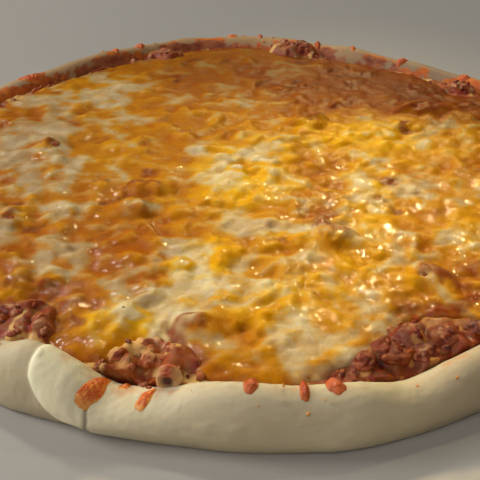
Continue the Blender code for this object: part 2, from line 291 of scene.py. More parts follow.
def new_finish(name, **constants):
    """Start a material with constants on its shader; the functions below then build inside it."""
    made = bpy.data.materials.new(name)
    made.use_nodes = True
    building.update(tree=made.node_tree, shader=made.node_tree.nodes["Principled BSDF"])
    for socket, value in constants.items():
        plug(socket.replace("_", " "), value)
    return made


def feed(socket, value):
    """Give a socket the output of another node, or a constant."""
    if isinstance(value, bpy.types.NodeSocket):
        building["tree"].links.new(value, socket)
    else:
        socket.default_value = value


def plug(name, value):
    """Feed an input of the shader."""
    feed(building["shader"].inputs[name], value)


def add_node(kind, inputs=(), **settings):
    """A shader node with its settings, each input a constant or another node's socket."""
    made = building["tree"].nodes.new("ShaderNode" + kind)
    for name, value in settings.items():
        setattr(made, name, value)
    for name, value in dict(inputs).items():
        feed(made.inputs[name], value)
    return made


def object_place():
    """Where a point is on its own object, in metres, as a socket."""
    return add_node("TexCoord").outputs["Object"]


def axes():
    """How far right and how far back a point is, in metres, as two sockets."""
    parts = add_node("SeparateXYZ", {"Vector": object_place()})
    return parts.outputs["X"], parts.outputs["Y"]


def painted():
    """The four numbers painted on a piece's points, as sockets."""
    layer = add_node("Attribute", attribute_name="paint", attribute_type="GEOMETRY")
    parts = add_node("SeparateColor", {"Color": layer.outputs["Color"]})
    return [parts.outputs[name] for name in ("Red", "Green", "Blue")] + [layer.outputs["Alpha"]]


def noise(size, detail=3.0, roughness=0.55, distortion=0.0):
    """Noise whose swells are about size millimetres across, as a 0 to 1 socket."""
    inputs = {"Vector": object_place(), "Scale": 1 / (size * MM), "Detail": detail,
              "Roughness": roughness, "Distortion": distortion}
    return add_node("TexNoise", inputs).outputs["Fac"]


def unevenness(size, detail=5, roughness=0.65):
    """Noise about zero, from -0.5 to 0.5, which frays the edge of whatever it is added to."""
    return scaled(noise(size, detail, roughness), 1.0, -0.5)


def drawn_noise(long, short, turn, detail=3.0):
    """Noise drawn out along an azimuth: its swells are long by short millimetres."""
    inputs = {"Vector": object_place(), "Rotation": (0, 0, math.radians(turn)),
              "Scale": (long * MM, short * MM, short * MM)}
    mapped = add_node("Mapping", inputs, vector_type="TEXTURE").outputs["Vector"]
    inputs = {"Vector": mapped, "Scale": 1.0, "Detail": detail, "Distortion": 0.3}
    return add_node("TexNoise", inputs).outputs["Fac"]


def ramp(factor, *stops):
    """A ramp of colours or grey values, each stop a position and its value."""
    made = add_node("ValToRGB", {"Fac": factor})
    elements = made.color_ramp.elements
    while len(elements) < len(stops):
        elements.new(0.5)
    for element, (position, value) in zip(elements, stops):
        element.position = position
        element.color = colour(*value) if isinstance(value, tuple) else (value, value, value, 1)
    return made.outputs["Color"]


def fade(factor, start, end, most=1.0):
    """A grey ramp: 0 up to start, and the most that it gets from end on."""
    return ramp(factor, (start, 0.0), (end, most))


def blend(factor, first, second, mode="MIX"):
    """Two colours, each a socket or picked on a screen, mixed by a factor."""
    first, second = (colour(*v) if isinstance(v, tuple) else v for v in (first, second))
    return add_node("Mix", {0: factor, 6: first, 7: second}, data_type="RGBA", blend_type=mode).outputs[2]


def scaled(value, times, plus=0.0):
    """A value times another, plus a third."""
    return add_node("Math", {0: value, 1: times, 2: plus}, operation="MULTIPLY_ADD").outputs[0]


def bump(height, depth, under=None):
    """Relief too fine for the mesh: a height from 0 to 1 that is depth millimetres deep."""
    inputs = {"Height": height, "Distance": depth * MM}
    if under is not None:
        inputs["Normal"] = under
    return add_node("Bump", inputs).outputs["Normal"]


# %% [markdown]
# ## The dough
#
# Home-made dough bakes pale, almost ivory, with a matte and slightly leathery skin. It is not
# smooth: fingers left shallow dents, and small blisters rise under the skin. A displaced torus
# would miss the fold, so the dough is swept instead: the section turns round the pizza, and each
# point is pushed along the section's normal by relief of two sizes. The steps are closer
# together through the fold, where the crease has to be sharp.
#
# Under the largest drop of cheese the skin split as it rose, which left a thin upright crack.

# %% Dough surface
FOLD_FROM, FOLD_TO = -121.0, -98.0
CRACK_AT, CRACK_HALF, CRACK_DEPTH, CRACK_TOP = -108.85, 0.25, 0.35, 15.0
SKIN_INSET = 0.55
COARSE_STEP, FOLD_STEP = 0.62, 0.14


def skin_relief(points):
    """Dents and blisters of the dough, less an inset that keeps the skin inside its solid."""
    dents = 0.34 * swells(points, 36, 1) + 0.07 * swells(points, 12, 2)
    blisters = 0.4 * np.clip(swells(points, 9, 3) - 1.9, 0, 1) + 0.03 * swells(points, 3.2, 4)
    return dents + blisters - SKIN_INSET


steps = np.concatenate([np.arange(-180, FOLD_FROM, COARSE_STEP),
                        np.arange(FOLD_FROM, FOLD_TO, FOLD_STEP),
                        np.arange(FOLD_TO, 180 - COARSE_STEP / 2, COARSE_STEP)])
turns = np.concatenate([np.linspace(-1, 0, 12)[:-1], np.linspace(0, 1, 42)[:-1], np.linspace(1, 2, 26)])
grid_azimuth, grid_turn = np.meshgrid(steps, turns)
flat = rim_point(grid_azimuth, grid_turn)
crack = CRACK_DEPTH * bell(grid_azimuth, CRACK_AT + 0.08 * np.sin(flat[..., 2] * 0.9), CRACK_HALF)
crack *= np.clip((CRACK_TOP - flat[..., 2]) / 3, 0, 1)
crack_lips = 0.15 * bell(grid_azimuth, CRACK_AT, 0.9) * np.clip((CRACK_TOP - flat[..., 2]) / 4, 0, 1)
skin = skin_relief(flat) * np.clip((grid_turn + 1) * 2, 0, 1) * np.clip((2 - grid_turn) * 2, 0, 1)
walls = rim_point(grid_azimuth, grid_turn, skin + crack_lips - crack)
walls[..., 2] = np.maximum(walls[..., 2], 0)


def disc_rings(ring, shares, height):
    """Rings inside a ring, each a share of its size, at one height."""
    rings = ring[None] * np.asarray(shares)[:, None, None]
    rings[..., 2] = height
    return rings


under = disc_rings(walls[0], np.linspace(0.1, 0.985, 9), 0.0)
inside = disc_rings(walls[-1], np.linspace(0.97, 0.1, 6), FLOOR)
dough_rings = np.concatenate([under, walls, inside])
print("the dough has", len(dough_rings), "rings of", len(steps), "points")

# %% [markdown]
# Grease from the topping crept over the crest and tinted it pink and orange. At the back left the cheese
# itself ran over the rim, and along the back the inner wall is brown with sauce. The end of the roll is
# painted paler just past its crease, fading away to the right, as painted light that falls on its bulge
# from the left; so its crease shows. Stain, painted shade in the crack and along the heel, and that
# painted light are painted on the points.

# %% Dough paint
rows_below = len(under)
on_walls = slice(rows_below, rows_below + len(turns))
blots = np.clip(0.5 + 0.45 * swells(flat, 16, 5) + 0.25 * swells(flat, 6, 6), 0, 1)
front_tint = 0.3 + bells(steps, (-107, 9, 1.0), (-70, 14, 0.6))
front_tint = np.exp(-((grid_turn - 1.1) / 0.25) ** 2) * front_tint
toward_back = smooth(np.sin(np.radians(grid_azimuth)), 0.1, 0.5)
ragged = 0.16 * swells(flat, 22, 7) + 0.12 * swells(flat, 7, 8) + 0.05 * swells(flat, 3, 9)
spills = bells(steps, (148, 14, 0.5), (123, 6, 0.45), (103, 10, 0.3), (97, 2.5, 0.5), (75, 6, 0.4),
               (57, 4, 0.5), (38, 6, 0.6))
smeared = toward_back * smooth(grid_turn + ragged + spills, 1.42, 1.62)
meaty = np.clip(bells(steps, (128, 7, 1), (103, 9, 1), (75, 7, 1), (60, 6, 1)) + 0.25, 0, 1)
sauce_line = meaty * smooth(grid_turn, 1.0, 1.4) + 0.5 * smooth(grid_turn, 1.5, 1.9)
past = past_crease(grid_azimuth, flat[..., 2] / crest_height(grid_azimuth))
stain, dark, redness, lobe_light = (np.zeros(dough_rings.shape[:2]) for _ in range(4))
stain[on_walls] = np.clip(np.maximum(0.4 * front_tint * blots, smeared), 0, 1)
# Painted shade: the crack is darker in its groove.
dark[on_walls] = crack / CRACK_DEPTH
# Painted shade: the dough darkens within 2.2 mm of the floor, along the heel.
dark += 0.6 * np.clip(1 - dough_rings[..., 2] / 2.2, 0, 1)
redness[on_walls] = toward_back * np.clip(sauce_line, 0, 1)
# Painted light: the end of the roll is paler just past its crease, as light that falls on its bulge from
# the left, fading away to the right.
lit_past_crease = smooth(past, -0.25, 0.25) * np.exp(-np.maximum(past, 0) / 8.0)
lobe_light[on_walls] = lit_past_crease * smooth(grid_turn, -0.8, 0.1)
dough_paint = close_rings(np.stack([stain, dark, redness, lobe_light], -1))
print("stains cover", round(float((stain[on_walls] > 0.5).mean() * 100)), "percent of the rim")

# %% [markdown]
# The finish of the dough is nearly matte, with a little light that travels under the skin. Its ivory
# drifts over two centimetres and gets browner towards the back; towards the right it is painted greyer
# and darker, as shade. The stains come from the paint, and noise frays their edges, because fat soaks in
# unevenly.

# %% Dough finish
dough_finish = new_finish(
    "dough", Roughness=0.62, Specular_IOR_Level=0.35, Subsurface_Weight=0.25,
    Subsurface_Radius=(0.006, 0.0035, 0.0018), Subsurface_Scale=0.6)
stained, crack_and_heel_shade, reddened, lobe_light_paint = painted()
ivory = ramp(noise(22, 4), (0.3, (196, 181, 148)), (0.7, (210, 196, 165)))
ivory = blend(fade(noise(3.5, 3), 0.62, 0.8, 0.3), ivory, (198, 174, 128))
# Painted light on the end of the roll.
ivory = blend(lobe_light_paint, ivory, (255, 248, 214))
rightwards, backwards = axes()
ivory = blend(fade(scaled(backwards, 6.0), 0.1, 0.6, 0.75), ivory, (158, 114, 64))
# Painted shade: the dough is greyer and darker towards the right.
ivory = blend(fade(scaled(rightwards, 6.0), 0.25, 0.6, 0.9), ivory, (148, 124, 100))
speckle = unevenness(4.0, 5, 0.6)
orange = ramp(noise(6, 4), (0.35, (214, 122, 40)), (0.65, (184, 84, 22)))
brick = ramp(noise(5, 4), (0.35, (130, 58, 32)), (0.65, (176, 106, 64)))
tint = blend(fade(scaled(speckle, 1.6, reddened), 0.3, 0.6), orange, brick)
ivory = blend(fade(scaled(speckle, 0.9, stained), 0.15, 0.85), ivory, tint)
# Painted shade in the crack and along the heel.
ivory = blend(crack_and_heel_shade, ivory, (150, 138, 116))
plug("Base Color", ivory)
plug("Normal", bump(noise(0.9, 3), 0.06, bump(noise(5, 4), 0.25)))

make_piece("dough", close_rings(dough_rings), tube_faces(len(dough_rings), len(steps)),
           dough_finish, ["crust"], dough_paint)

# %% [markdown]
# ## A map of the topping
#
# Melted cheese over crumbled meat has no parts with clean edges, yet it isn't noise either: it
# remembers every shred and crumb that went in. So the topping is worked out on a map, a square
# grid seen from above, half a millimetre to a cell. Shreds and crumbs are pressed into the map one
# by one, then a blur melts them. The map holds a height, and how much cream cheese, meat and
# bright cheese shows. The meshes then read their heights and colours from it.

# %% The map and the blur
CELL, HALF_MAP = 0.5, 156.0
ticks = np.arange(-HALF_MAP, HALF_MAP + CELL / 2, CELL)
map_x, map_y = np.meshgrid(ticks, ticks)
map_points = np.stack([map_x, map_y, np.zeros_like(map_x)], -1)
map_azimuth = np.degrees(np.arctan2(map_y, map_x))
map_distance = np.hypot(map_x, map_y)
waves_x = np.fft.rfftfreq(len(ticks), CELL)
waves_y = np.fft.fftfreq(len(ticks), CELL)[:, None]
print("the map has", map_x.size, "cells")


def blur(field, size):
    """A soft focus of size millimetres: each wave of the field fades by e to the -2(pi size f)^2."""
    kept = np.exp(-2 * (math.pi * size) ** 2 * (waves_x**2 + waves_y**2))
    return np.fft.irfft2(np.fft.rfft2(field) * kept, field.shape[-2:])


def clouds(size, seed):
    """Random relief on the map with a spread of 1: white noise, blurred and scaled."""
    field = blur(np.random.default_rng(seed).normal(size=map_x.shape), size)
    return (field - field.mean()) / field.std()


def spanned(x, y, angle):
    """How far x, y reaches along a direction and across it, from an angle in radians."""
    c, s = math.cos(angle), math.sin(angle)
    return x * c + y * s, y * c - x * s


def streaks(long, short, turn, seed):
    """Clouds drawn out one way: noise blurred by long along an azimuth and by short across it."""
    along, across = spanned(waves_x, waves_y, math.radians(turn))
    kept = np.exp(-2 * math.pi**2 * ((long * along) ** 2 + (short * across) ** 2))
    noise_wave = np.fft.rfft2(np.random.default_rng(seed).normal(size=map_x.shape))
    field = np.fft.irfft2(noise_wave * kept, map_x.shape)
    return (field - field.mean()) / field.std()


def from_map(field, points):
    """A field's values at points, blended from the four nearest cells."""
    column = np.clip((points[..., 0] + HALF_MAP) / CELL, 0, len(ticks) - 1.001)
    row = np.clip((points[..., 1] + HALF_MAP) / CELL, 0, len(ticks) - 1.001)
    i, j = row.astype(int), column.astype(int)
    down, right = row - i, column - j
    upper = field[i, j] * (1 - right) + field[i, j + 1] * right
    lower = field[i + 1, j] * (1 - right) + field[i + 1, j + 1] * right
    return upper * (1 - down) + lower * down


def zone(x, y, wide, deep, turn=0):
    """A soft oval on the map: 1 in the middle, fading over its own size."""
    along, across = spanned(map_x - x, map_y - y, math.radians(turn))
    return np.exp(-((along / wide) ** 2) - (across / deep) ** 2)


# %% [markdown]
# The layers under the cheese are nearly flat: the meat sauce lies a little lower at the rim, and
# lower still where the crest slumps. The cheese stops short of the rim in places, and there the
# meat shows. Its edge wanders, so a few millimetres of low waves are taken off the reach that its
# solid has.

# %% Sauce level and the cheese's reach
SAUCE_MIDDLE, SAUCE_EDGE, SAUCE_BELOW_CREST = 14.5, 14.0, 3.0
CHEESE_GAPS = (
    (-66.0, 10.0, 17.0), (-104.0, 5.0, 12.0), (-124.0, 5.0, 11.0), (-30.0, 7.0, 6.0),
    (18.0, 9.0, 7.0), (38.0, 6.0, 9.0), (78.0, 6.0, 6.0), (108.0, 11.0, 5.0),
    (150.0, 8.0, 5.0), (-178.0, 7.0, 8.0), (-150.0, 6.0, 7.0),
)


def sauce_edge(azimuth):
    """How high the meat sauce meets the rim: lower where the crest slumps."""
    return np.minimum(SAUCE_EDGE, crest_height(azimuth) - SAUCE_BELOW_CREST)


def sauce_level(azimuth, distance):
    """The top of the meat sauce: flat, then easing to its edge height near the rim."""
    share = distance / inner_wall(azimuth, sauce_edge(azimuth))
    ease = np.clip((share - 0.55) / 0.45, 0, 1) ** 1.6
    return SAUCE_MIDDLE + (sauce_edge(azimuth) - SAUCE_MIDDLE) * ease


def cheese_reach(azimuth):
    """How far out the cheese comes: the inner wall less the gaps, less a wandering margin."""
    gap = 0.7 + bells(azimuth, *CHEESE_GAPS)
    on_edge = polar(azimuth, 148.0, 0)
    wander = 1.3 * swells(on_edge, 24, 11) + 0.9 * swells(on_edge, 9, 12)
    margin = np.clip(1.2 + wander, 0, 4) * smooth(gap, 0.8, 4)
    return inner_wall(azimuth, sauce_edge(azimuth)) - gap - margin


map_sauce = sauce_level(map_azimuth, map_distance)
map_share = map_distance / cheese_reach(map_azimuth)
print("cheese covers", round(float((map_share < 1).sum() * CELL**2 / 100)), "square cm")

# %% [markdown]
# ### Pressing shreds into the map
#
# A shred of cheese is a bent capsule, lying flat and half sunk. For each one, only the cells
# round it are touched. Its height is the top half of an ellipse across it; where two shreds
# cross, the later one rides up over the earlier. The kind of cheese is painted with the same
# outline. Crumbs of meat are rounded lumps with an uneven outline.

# %% Stamping
def cell_at(x, y):
    """The row and column of the cell that holds a place."""
    return int((y + HALF_MAP) / CELL), int((x + HALF_MAP) / CELL)


def window(x, y, reach):
    """The part of the map within reach of a place."""
    i, j = cell_at(x, y)
    k = int(reach / CELL) + 2
    return slice(max(i - k, 0), i + k + 1), slice(max(j - k, 0), j + k + 1)


def press_shred(height, kind, x, y, length, width, turn, bend, thick, value):
    """Lay one bent capsule over the map: thick * sqrt(1 - d^2), d the distance from its spine."""
    part = window(x, y, (length + width) / 2)
    along, across = spanned(map_x[part] - x, map_y[part] - y, turn)
    across = across + bend * (along**2 / length - length / 8)
    beyond = np.maximum(np.abs(along) - (length - width) / 2, 0)
    d = np.hypot(beyond, across) / (width / 2)
    body = np.sqrt(np.clip(1 - d * d, 0, 1))
    ground = height[part]
    height[part] = np.maximum(ground, 0.45 * ground + thick * body) * (d < 1) + ground * (d >= 1)
    kind[part] += (value - kind[part]) * smooth(1 - d, 0.0, 0.5)


def press_lump(height, x, y, size, thick, seed, kind=None, value=0.0, power=0.7):
    """Raise one rounded lump with an uneven outline: thick * (1 - d^2)^power, d warped by angle."""
    part = window(x, y, size)
    dx, dy = map_x[part] - x, map_y[part] - y
    angle = np.arctan2(dy, dx)
    uneven = 1 + 0.16 * np.cos(2 * angle + seed) + 0.11 * np.cos(3 * angle + 2.3 * seed)
    d = np.hypot(dx, dy) / (size / 2 * uneven)
    body = thick * np.clip(1 - d * d, 0, 1) ** power
    if kind is not None:
        kind[part] += (value - kind[part]) * (body > height[part])
    height[part] = np.maximum(height[part], body)


# %% [markdown]
# ### Where the kinds of cheese lie
#
# Two cheeses were mixed: an orange one that melts thin and oily, and a cream one that stays
# thicker. Over most of the left they ran together into a flat sheet. In the middle they kept the
# form of beads, and at the right of shreds. The large pools of cream cheese have places of their
# own, and so have the spots where the meat breaks through; the shreds fall at random.

# %% Pools and bare spots: x, y, half length, half width, turn
CREAM_POOLS = (
    (-97, -28, 5, 14, 10), (-85, -25, 6, 10), (-78, -75, 5, 14), (-62, -25, 8, 5), (-64, -82, 4, 7),
    (-42, -45, 14, 5, 20), (-30, -75, 10, 5, 30), (-28, -88, 4, 6), (-6, -46, 6, 20),
    (6, -64, 14, 4, -35), (-14, -84, 8, 10), (-16, -95, 12, 4, 5), (4, -102, 11, 7),
    (-28, -104, 8, 8), (-31, -118, 7, 7, 20), (-12, -132, 4, 8), (8, -122, 7, 12),
    (22, -133, 12, 7), (40, -118, 10, 7), (28, -100, 4, 10, -15), (18, -50, 5, 14, -10),
    (23, -68, 4, 14, -15), (35, -52, 3, 20, -12), (46, -28, 7, 12, -10), (45, -52, 3, 14, -15),
    (69, -32, 6, 8, -20), (60, -88, 9, 5, 20), (76, -62, 4, 24, -27), (53, -66, 3, 12, -20),
    (10, 13, 9, 14), (-20, 10, 8, 10), (45, 22, 12, 5, 10), (40, 4, 10, 4), (65, 12, 8, 8),
    (55, -13, 6, 12), (-15, -21, 8, 7), (85, 36, 7, 9, -20), (104, 40, 8, 14, 10), (-62, 40, 7, 4),
    (-57, 85, 9, 8), (-76, 80, 8, 13), (-92, 70, 8, 12), (-106, 68, 8, 8), (-110, 30, 5, 12),
    (-95, 28, 6, 22, 15), (-84, 0, 5, 20, 20), (-101, -8, 4, 20, 20), (-85, 101, 5, 12),
    (-37, 60, 4, 18, 5), (-8, 75, 6, 12), (-4, 60, 5, 9), (10, 80, 5, 8), (5, 46, 5, 5),
    (25, 106, 11, 7), (-30, 112, 10, 4), (-57, 6, 4, 8, 20), (112, 2, 5, 12, 10),
    (118, -34, 5, 14, -20), (94, -62, 4, 18, -30), (-118, 64, 7, 9, 30), (-128, -8, 6, 14),
    (-124, -62, 6, 10, 30), (104, -84, 6, 12, -40), (20, -130, 14, 8), (-20, -118, 8, 12, -10),
    (-100, -60, 6, 12, 10), (-112, 10, 7, 16), (-70, 60, 10, 8), (-95, 48, 9, 8, 20),
    (-40, 30, 10, 3), (-78, -44, 10, 6, 10), (128, 30, 5, 12), (-60, 118, 10, 4),
    (-50, -98, 4, 8, 10), (-70, -52, 5, 3), (16, -140, 15, 10), (32, -138, 8, 8), (9, -128, 7, 9),
    (-34, -122, 4, 13, 8), (-47, -110, 4, 5), (-40, -108, 4, 8),
)
BARE_SPOTS = (
    (-87, -58, 4, 10), (-81, -98, 6, 7), (-48, -32, 4, 7, 20), (28, -61, 5, 11, -8),
    (65, -88, 6, 6), (53, -41, 4, 8, -15), (61, -28, 5, 7), (-18, -120, 3, 9), (-69, -18, 3, 7),
    (-45, -18, 5, 6), (28, 44, 5, 8), (82, 57, 14, 7), (95, 80, 13, 13, 20), (56, 84, 8, 5),
    (25, 86, 13, 7), (8, 97, 3, 7), (-36, 98, 8, 5), (-87, 44, 4, 5), (-82, 117, 9, 9, 30),
    (60, 110, 16, 7, 20), (75, 30, 4, 4), (-60, -118, 8, 5, -20), (-70, -109, 7, 6),
    (-26, -124, 4, 10), (-74, 24, 3, 5), (-106, 86, 8, 7), (12, -72, 4, 3), (112, 62, 7, 6),
    (125, 25, 6, 9), (-112, -88, 7, 6), (-132, 30, 6, 8), (120, -60, 6, 8), (-37, -134, 8, 5),
    (70, -101, 5, 10, -20), (50, -121, 7, 6), (-98, -45, 4, 7), (35, 124, 12, 5), (-25, 124, 14, 4),
    (-88, -106, 14, 11, 20), (-74, -114, 9, 6), (-31, -136, 12, 6), (62, -112, 20, 8, 28),
    (84, -94, 10, 9, 40), (-92, -76, 6, 5), (-58, 24, 5, 3), (-56, -36, 6, 4, 20), (10, 48, 7, 3),
    (44, 66, 12, 4), (-20, 70, 6, 3),
)
WET_SPOTS = (
    (38, -86, 13, 9), (58, -74, 12, 12), (66, -50, 9, 9), (15, -106, 9, 8), (46, -103, 10, 8),
    (95, -14, 12, 12), (28, -38, 8, 8), (20, -82, 8, 8), (30, -118, 8, 6), (76, -18, 10, 10),
    (-50, -122, 12, 10), (-66, -100, 12, 12), (-15, -136, 10, 6), (90, -60, 10, 16),
)
print(len(CREAM_POOLS), "pools of cream cheese,", len(BARE_SPOTS), "bare spots")

# %% [markdown]
# Soft ovals also say where the sheet ran flat, where it is wet with oil and where the orange cheese lies
# thick and bright. The bright share also carries painted light and shade: it is raised in a pool right of
# the middle and at the front left, and lowered at the back right and the back. A slow random warp pushes
# the edges of the pools about by a few millimetres, because no pool of melted cheese is a true oval.

# %% Flat, wet and thick places
ran_at_back = smooth(map_y, 22, 55) * smooth(map_x, 100, 70)
flatness = np.clip(0.95 * smooth(map_x, -5, -32) + 0.9 * ran_at_back, 0, 1)
flatness = np.clip(flatness - zone(-35, -118, 26, 20) - 0.7 * zone(-85, -95, 25, 25), 0, 1)
wet = 0.12 + 0.95 * sum(zone(*spot) for spot in WET_SPOTS) + 0.25 * zone(60, -50, 60, 70)
wet = wet * smooth(map_y, 80, -20) + 0.6 * zone(-70, -95, 45, 35) + 0.3 * zone(-95, 10, 35, 60)
wet = np.clip(wet, 0, 1)
warp = blur(np.random.default_rng(20).normal(size=(2, *map_x.shape)), 3.0)
warp *= 3.0 / warp.std()


def warped_zone(x, y, wide, deep, turn=0):
    """A soft oval whose edge is pushed about by a few millimetres, as a melted pool's is."""
    along, across = spanned(map_x + warp[0] - x, map_y + warp[1] - y, math.radians(turn))
    return np.clip(1.6 - np.hypot(along / wide, across / deep), 0, 1)


def patches(*ovals):
    """The highest of several warped ovals, each with a strength after its turn."""
    return np.max([strength * warped_zone(*oval) for *oval, strength in ovals], axis=0)


thick_cheese = patches(
    (-2, -12, 19, 28, 0, 1.0), (-20, -88, 9, 18, -20, 1.0), (-40, -117, 16, 10, 15, 1.0),
    (66, 22, 40, 22, 0, 0.75), (48, -44, 12, 28, -10, 0.8), (84, -40, 16, 30, -15, 0.5),
    (12, -104, 18, 18, 0, 0.55), (16, -70, 14, 10, 0, 0.5), (104, 30, 14, 14, 0, 0.8),
    (40, -90, 20, 12, 0, 0.45))
# The bright share is partly thick cheese and partly painted light: raised in a pool right of the middle
# and at the front left, and lowered as painted shade at the back right and the back.
bright = 0.22 + 0.75 * thick_cheese + 0.1 * zone(60, -30, 50, 60) + 0.1 * clouds(14, 25)
bright += 0.2 * zone(-35, -118, 30, 18)
bright -= 0.5 * zone(75, 85, 65, 38) + 0.14 * zone(5, 95, 60, 30)
bright = np.clip(bright, 0, 1)
pools = np.max([warped_zone(*pool) for pool in CREAM_POOLS], axis=0)
bare = np.max([warped_zone(*spot) for spot in BARE_SPOTS], axis=0)
print("pools of cream cheese cover", round(float((pools > 0.5).mean() * 100)), "percent of the map")

# %% [markdown]
# Three sets of lumps give the sheet its form: large and small crumbs of meat below it, and beads
# of cheese that softened without spreading. Shreds lie over them, mostly one way, as a hand
# scatters them.

# %% Crumbs, beads and shreds
rng = np.random.default_rng(7)


def scattered(count, reach=146.0):
    """Random places spread evenly over a disc."""
    distance, angle = reach * np.sqrt(rng.random(count)), rng.uniform(0, 2 * np.pi, count)
    return np.stack([distance * np.cos(angle), distance * np.sin(angle)], -1)


mounds = np.zeros_like(map_x)
for x, y in scattered(430):
    press_lump(mounds, x, y, rng.uniform(8, 15), rng.uniform(1.0, 3.0), rng.uniform(0, 6), power=1.0)
crumbs_below = np.zeros_like(map_x)
for x, y in scattered(1200):
    press_lump(crumbs_below, x, y, rng.uniform(4.0, 7.5), rng.uniform(0.5, 1.5), rng.uniform(0, 6))

shreds = np.zeros_like(map_x)
at_back = np.clip(zone(70, 85, 70, 45) + 0.5 * zone(0, 100, 60, 30), 0, 1)
cream = smooth(pools, 0.2, 0.8)
for x, y in scattered(1500):
    i, j = cell_at(x, y)
    likely = 0.2 + 0.25 * smooth(x, -70, -110) + 0.7 * pools[i, j] + 0.1 * thick_cheese[i, j]
    value = float(rng.random() < likely * (1 - 0.8 * at_back[i, j]))
    lean = 0.9 * float(smooth(x, 30, 80)) - 0.15
    press_shred(shreds, cream, x, y, rng.uniform(9, 26), rng.uniform(2.8, 5.2), rng.normal(lean, 0.7),
                rng.uniform(-0.5, 0.5), rng.uniform(0.8, 1.4), value)

beads = np.zeros_like(map_x)
bead_kind = cream.copy()
for x, y in scattered(1500):
    press_lump(beads, x, y, rng.uniform(6.0, 12.0), rng.uniform(1.6, 3.8), rng.uniform(0, 6),
               bead_kind, float(rng.random() < 0.54 - 0.24 * smooth(x, 10, 60)), power=0.8)
bead_zone = np.clip(1.1 * thick_cheese - 0.1, 0, 1) * smooth(map_share, 0.97, 0.85)
print("the highest shred is", round(float(shreds.max()), 1), "mm, the highest bead",
      round(float(beads.max()), 1), "mm")

# %% [markdown]
# ### Melting
#
# Melting is a blur that is strong where the sheet ran flat and weak where shreds kept their form.
# Bare spots lose their shreds and gain sharper crumbs. Towards the front the cheese clotted, so
# fine curds are added there. Towards the back and the right the relief is calmer.

# %% Relief of the cheese
relief = blur(mounds, 1.0) * (0.85 - 0.2 * flatness) + blur(crumbs_below, 0.8) * (0.9 - 0.35 * flatness)
relief += (0.7 * blur(shreds, 0.8)) * (1 - flatness) + 0.5 * blur(shreds, 1.6) * flatness
relief += (0.85 * blur(beads, 0.9) - 0.65 * relief) * bead_zone + 0.6 * blur(thick_cheese, 1.5)
relief += 0.5 * blur(smooth(pools, 0.2, 0.9), 1.5)
rough = 0.8 * blur(mounds, 0.8) + blur(crumbs_below, 0.45) * 1.4 + 0.2 * clouds(0.8, 31)
relief += (rough - relief) * 0.8 * blur(smooth(bare, 0.3, 0.8), 1.0)
relief += 0.35 * clouds(9.0, 32)
calm = (1 - 0.4 * smooth(map_y, 30, 110)) * (1 - 0.5 * zone(84, 88, 45, 38))
relief *= calm * (1 - 0.4 * zone(75, -35, 55, 60))
clotted = smooth(clouds(5.0, 62), -0.4, 1.0) * smooth(map_y, 10, -60)
relief += clotted * (0.22 * clouds(1.1, 63) + 0.12 * clouds(0.7, 64))
print("the relief is", *np.round(np.percentile(relief[map_share < 0.95], [1, 50, 99]), 1), "mm")

# %% [markdown]
# The sheet rounds down towards its edge and is thickest a little in front and to the right of the
# middle. It may not rise above the solids, so near that ceiling its height is pressed down softly
# instead of being cut off.

# %% Thickness of the cheese
BELOW_TOP = 0.5
edge_round = np.sqrt(np.clip(1 - np.clip(map_share, 0, 1) ** 14, 0, 1))
heap = 0.8 * zone(26, -37, 60, 60)
thickness = 0.3 + edge_round * (2.2 + heap) + relief * (0.35 + 0.65 * edge_round)
cheese_top = map_sauce + np.clip(thickness, 0.2, None)
ceiling = high[2] - BELOW_TOP
cheese_top = ceiling - np.logaddexp(0, (ceiling - cheese_top) * 1.4) / 1.4
print("the sheet is", *np.round(np.percentile(thickness[map_share < 0.95], [1, 50, 99]), 1), "mm thick")

# %% [markdown]
# Where a solid lump of meat lies on the sheet, the cheese is drawn up its sides, roughened by the
# grains below, and leaves only the top of the lump free. A soft maximum of the two heights does
# that. The lumps by the rim lie on the sauce instead, which is banked up round them.

# %% Cheese drawn over the lumps
SHEET_LUMPS_WITHIN = 125.0
lump_nodes = sorted(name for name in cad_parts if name.startswith("meat_lump"))
boxes = np.array([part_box(name) for name in lump_nodes]) / MM - centre
lump_middles, lump_sizes = boxes.mean(1), boxes[:, 1] - boxes[:, 0]
on_sheet = np.hypot(*lump_middles[:, :2].T) < SHEET_LUMPS_WITHIN
near_lump, sauce_bank = np.zeros_like(map_x), np.zeros_like(map_x)
for (x, y, z), (wide, deep, tall), is_on_sheet in zip(lump_middles, lump_sizes, on_sheet):
    push_x, push_y = (0.5 if is_on_sheet else 0.7) * warp
    d = np.hypot((map_x + push_x - x) / wide, (map_y + push_y - y) / deep) * 2
    if is_on_sheet:
        drape = z + tall / 2 - 0.6 - 0.9 * d**2
        cheese_top = np.logaddexp(cheese_top * 2, drape * 2) / 2
        near_lump = np.maximum(near_lump, smooth(d, 1.5, 0.5))
    else:
        sauce_bank = np.maximum(sauce_bank, z + tall * 0.3 - 1.3 * d**2)
cheese_top += near_lump * (0.5 * clouds(1.6, 65) + 0.2 * clouds(0.8, 66))
print("the cheese is", *np.round(np.percentile(cheese_top[map_share < 0.95], [1, 50, 99]), 1), "mm up")

# %% [markdown]
# ### The sheet as a mesh
#
# A grid on polar coordinates would crowd its points in the middle. Pressing a square grid onto a
# disc spreads them evenly: each square ring of the grid becomes a circle. The rows are closer
# together towards the front, which is seen from nearby. The outermost ring lands exactly on the
# cheese's edge. From there the sheet turns down into the sauce and is closed underneath.

# %% Cheese surface
CHEESE_GRID = 313
EDGE_DROP, TUCK_DEPTH, TUCK_SHARE = 0.7, 2.6, 0.994


def disc_grid(count):
    """Azimuths and shares (0-1) of a square grid, denser in front, pressed into circles."""
    a, b = np.meshgrid(np.linspace(-1, 1, count), np.linspace(-1, 1, count))
    b -= 0.2 * (1 - b**2)
    wide = np.abs(a) >= np.abs(b)
    share = np.where(wide, np.abs(a), np.abs(b))
    main, other = np.where(wide, a, b), np.where(wide, b, -a)
    ratio = np.divide(other, main, out=np.zeros_like(a), where=main != 0)
    return 45 * ratio + np.where(wide, 0, 90) + np.where(main < 0, 180, 0), share


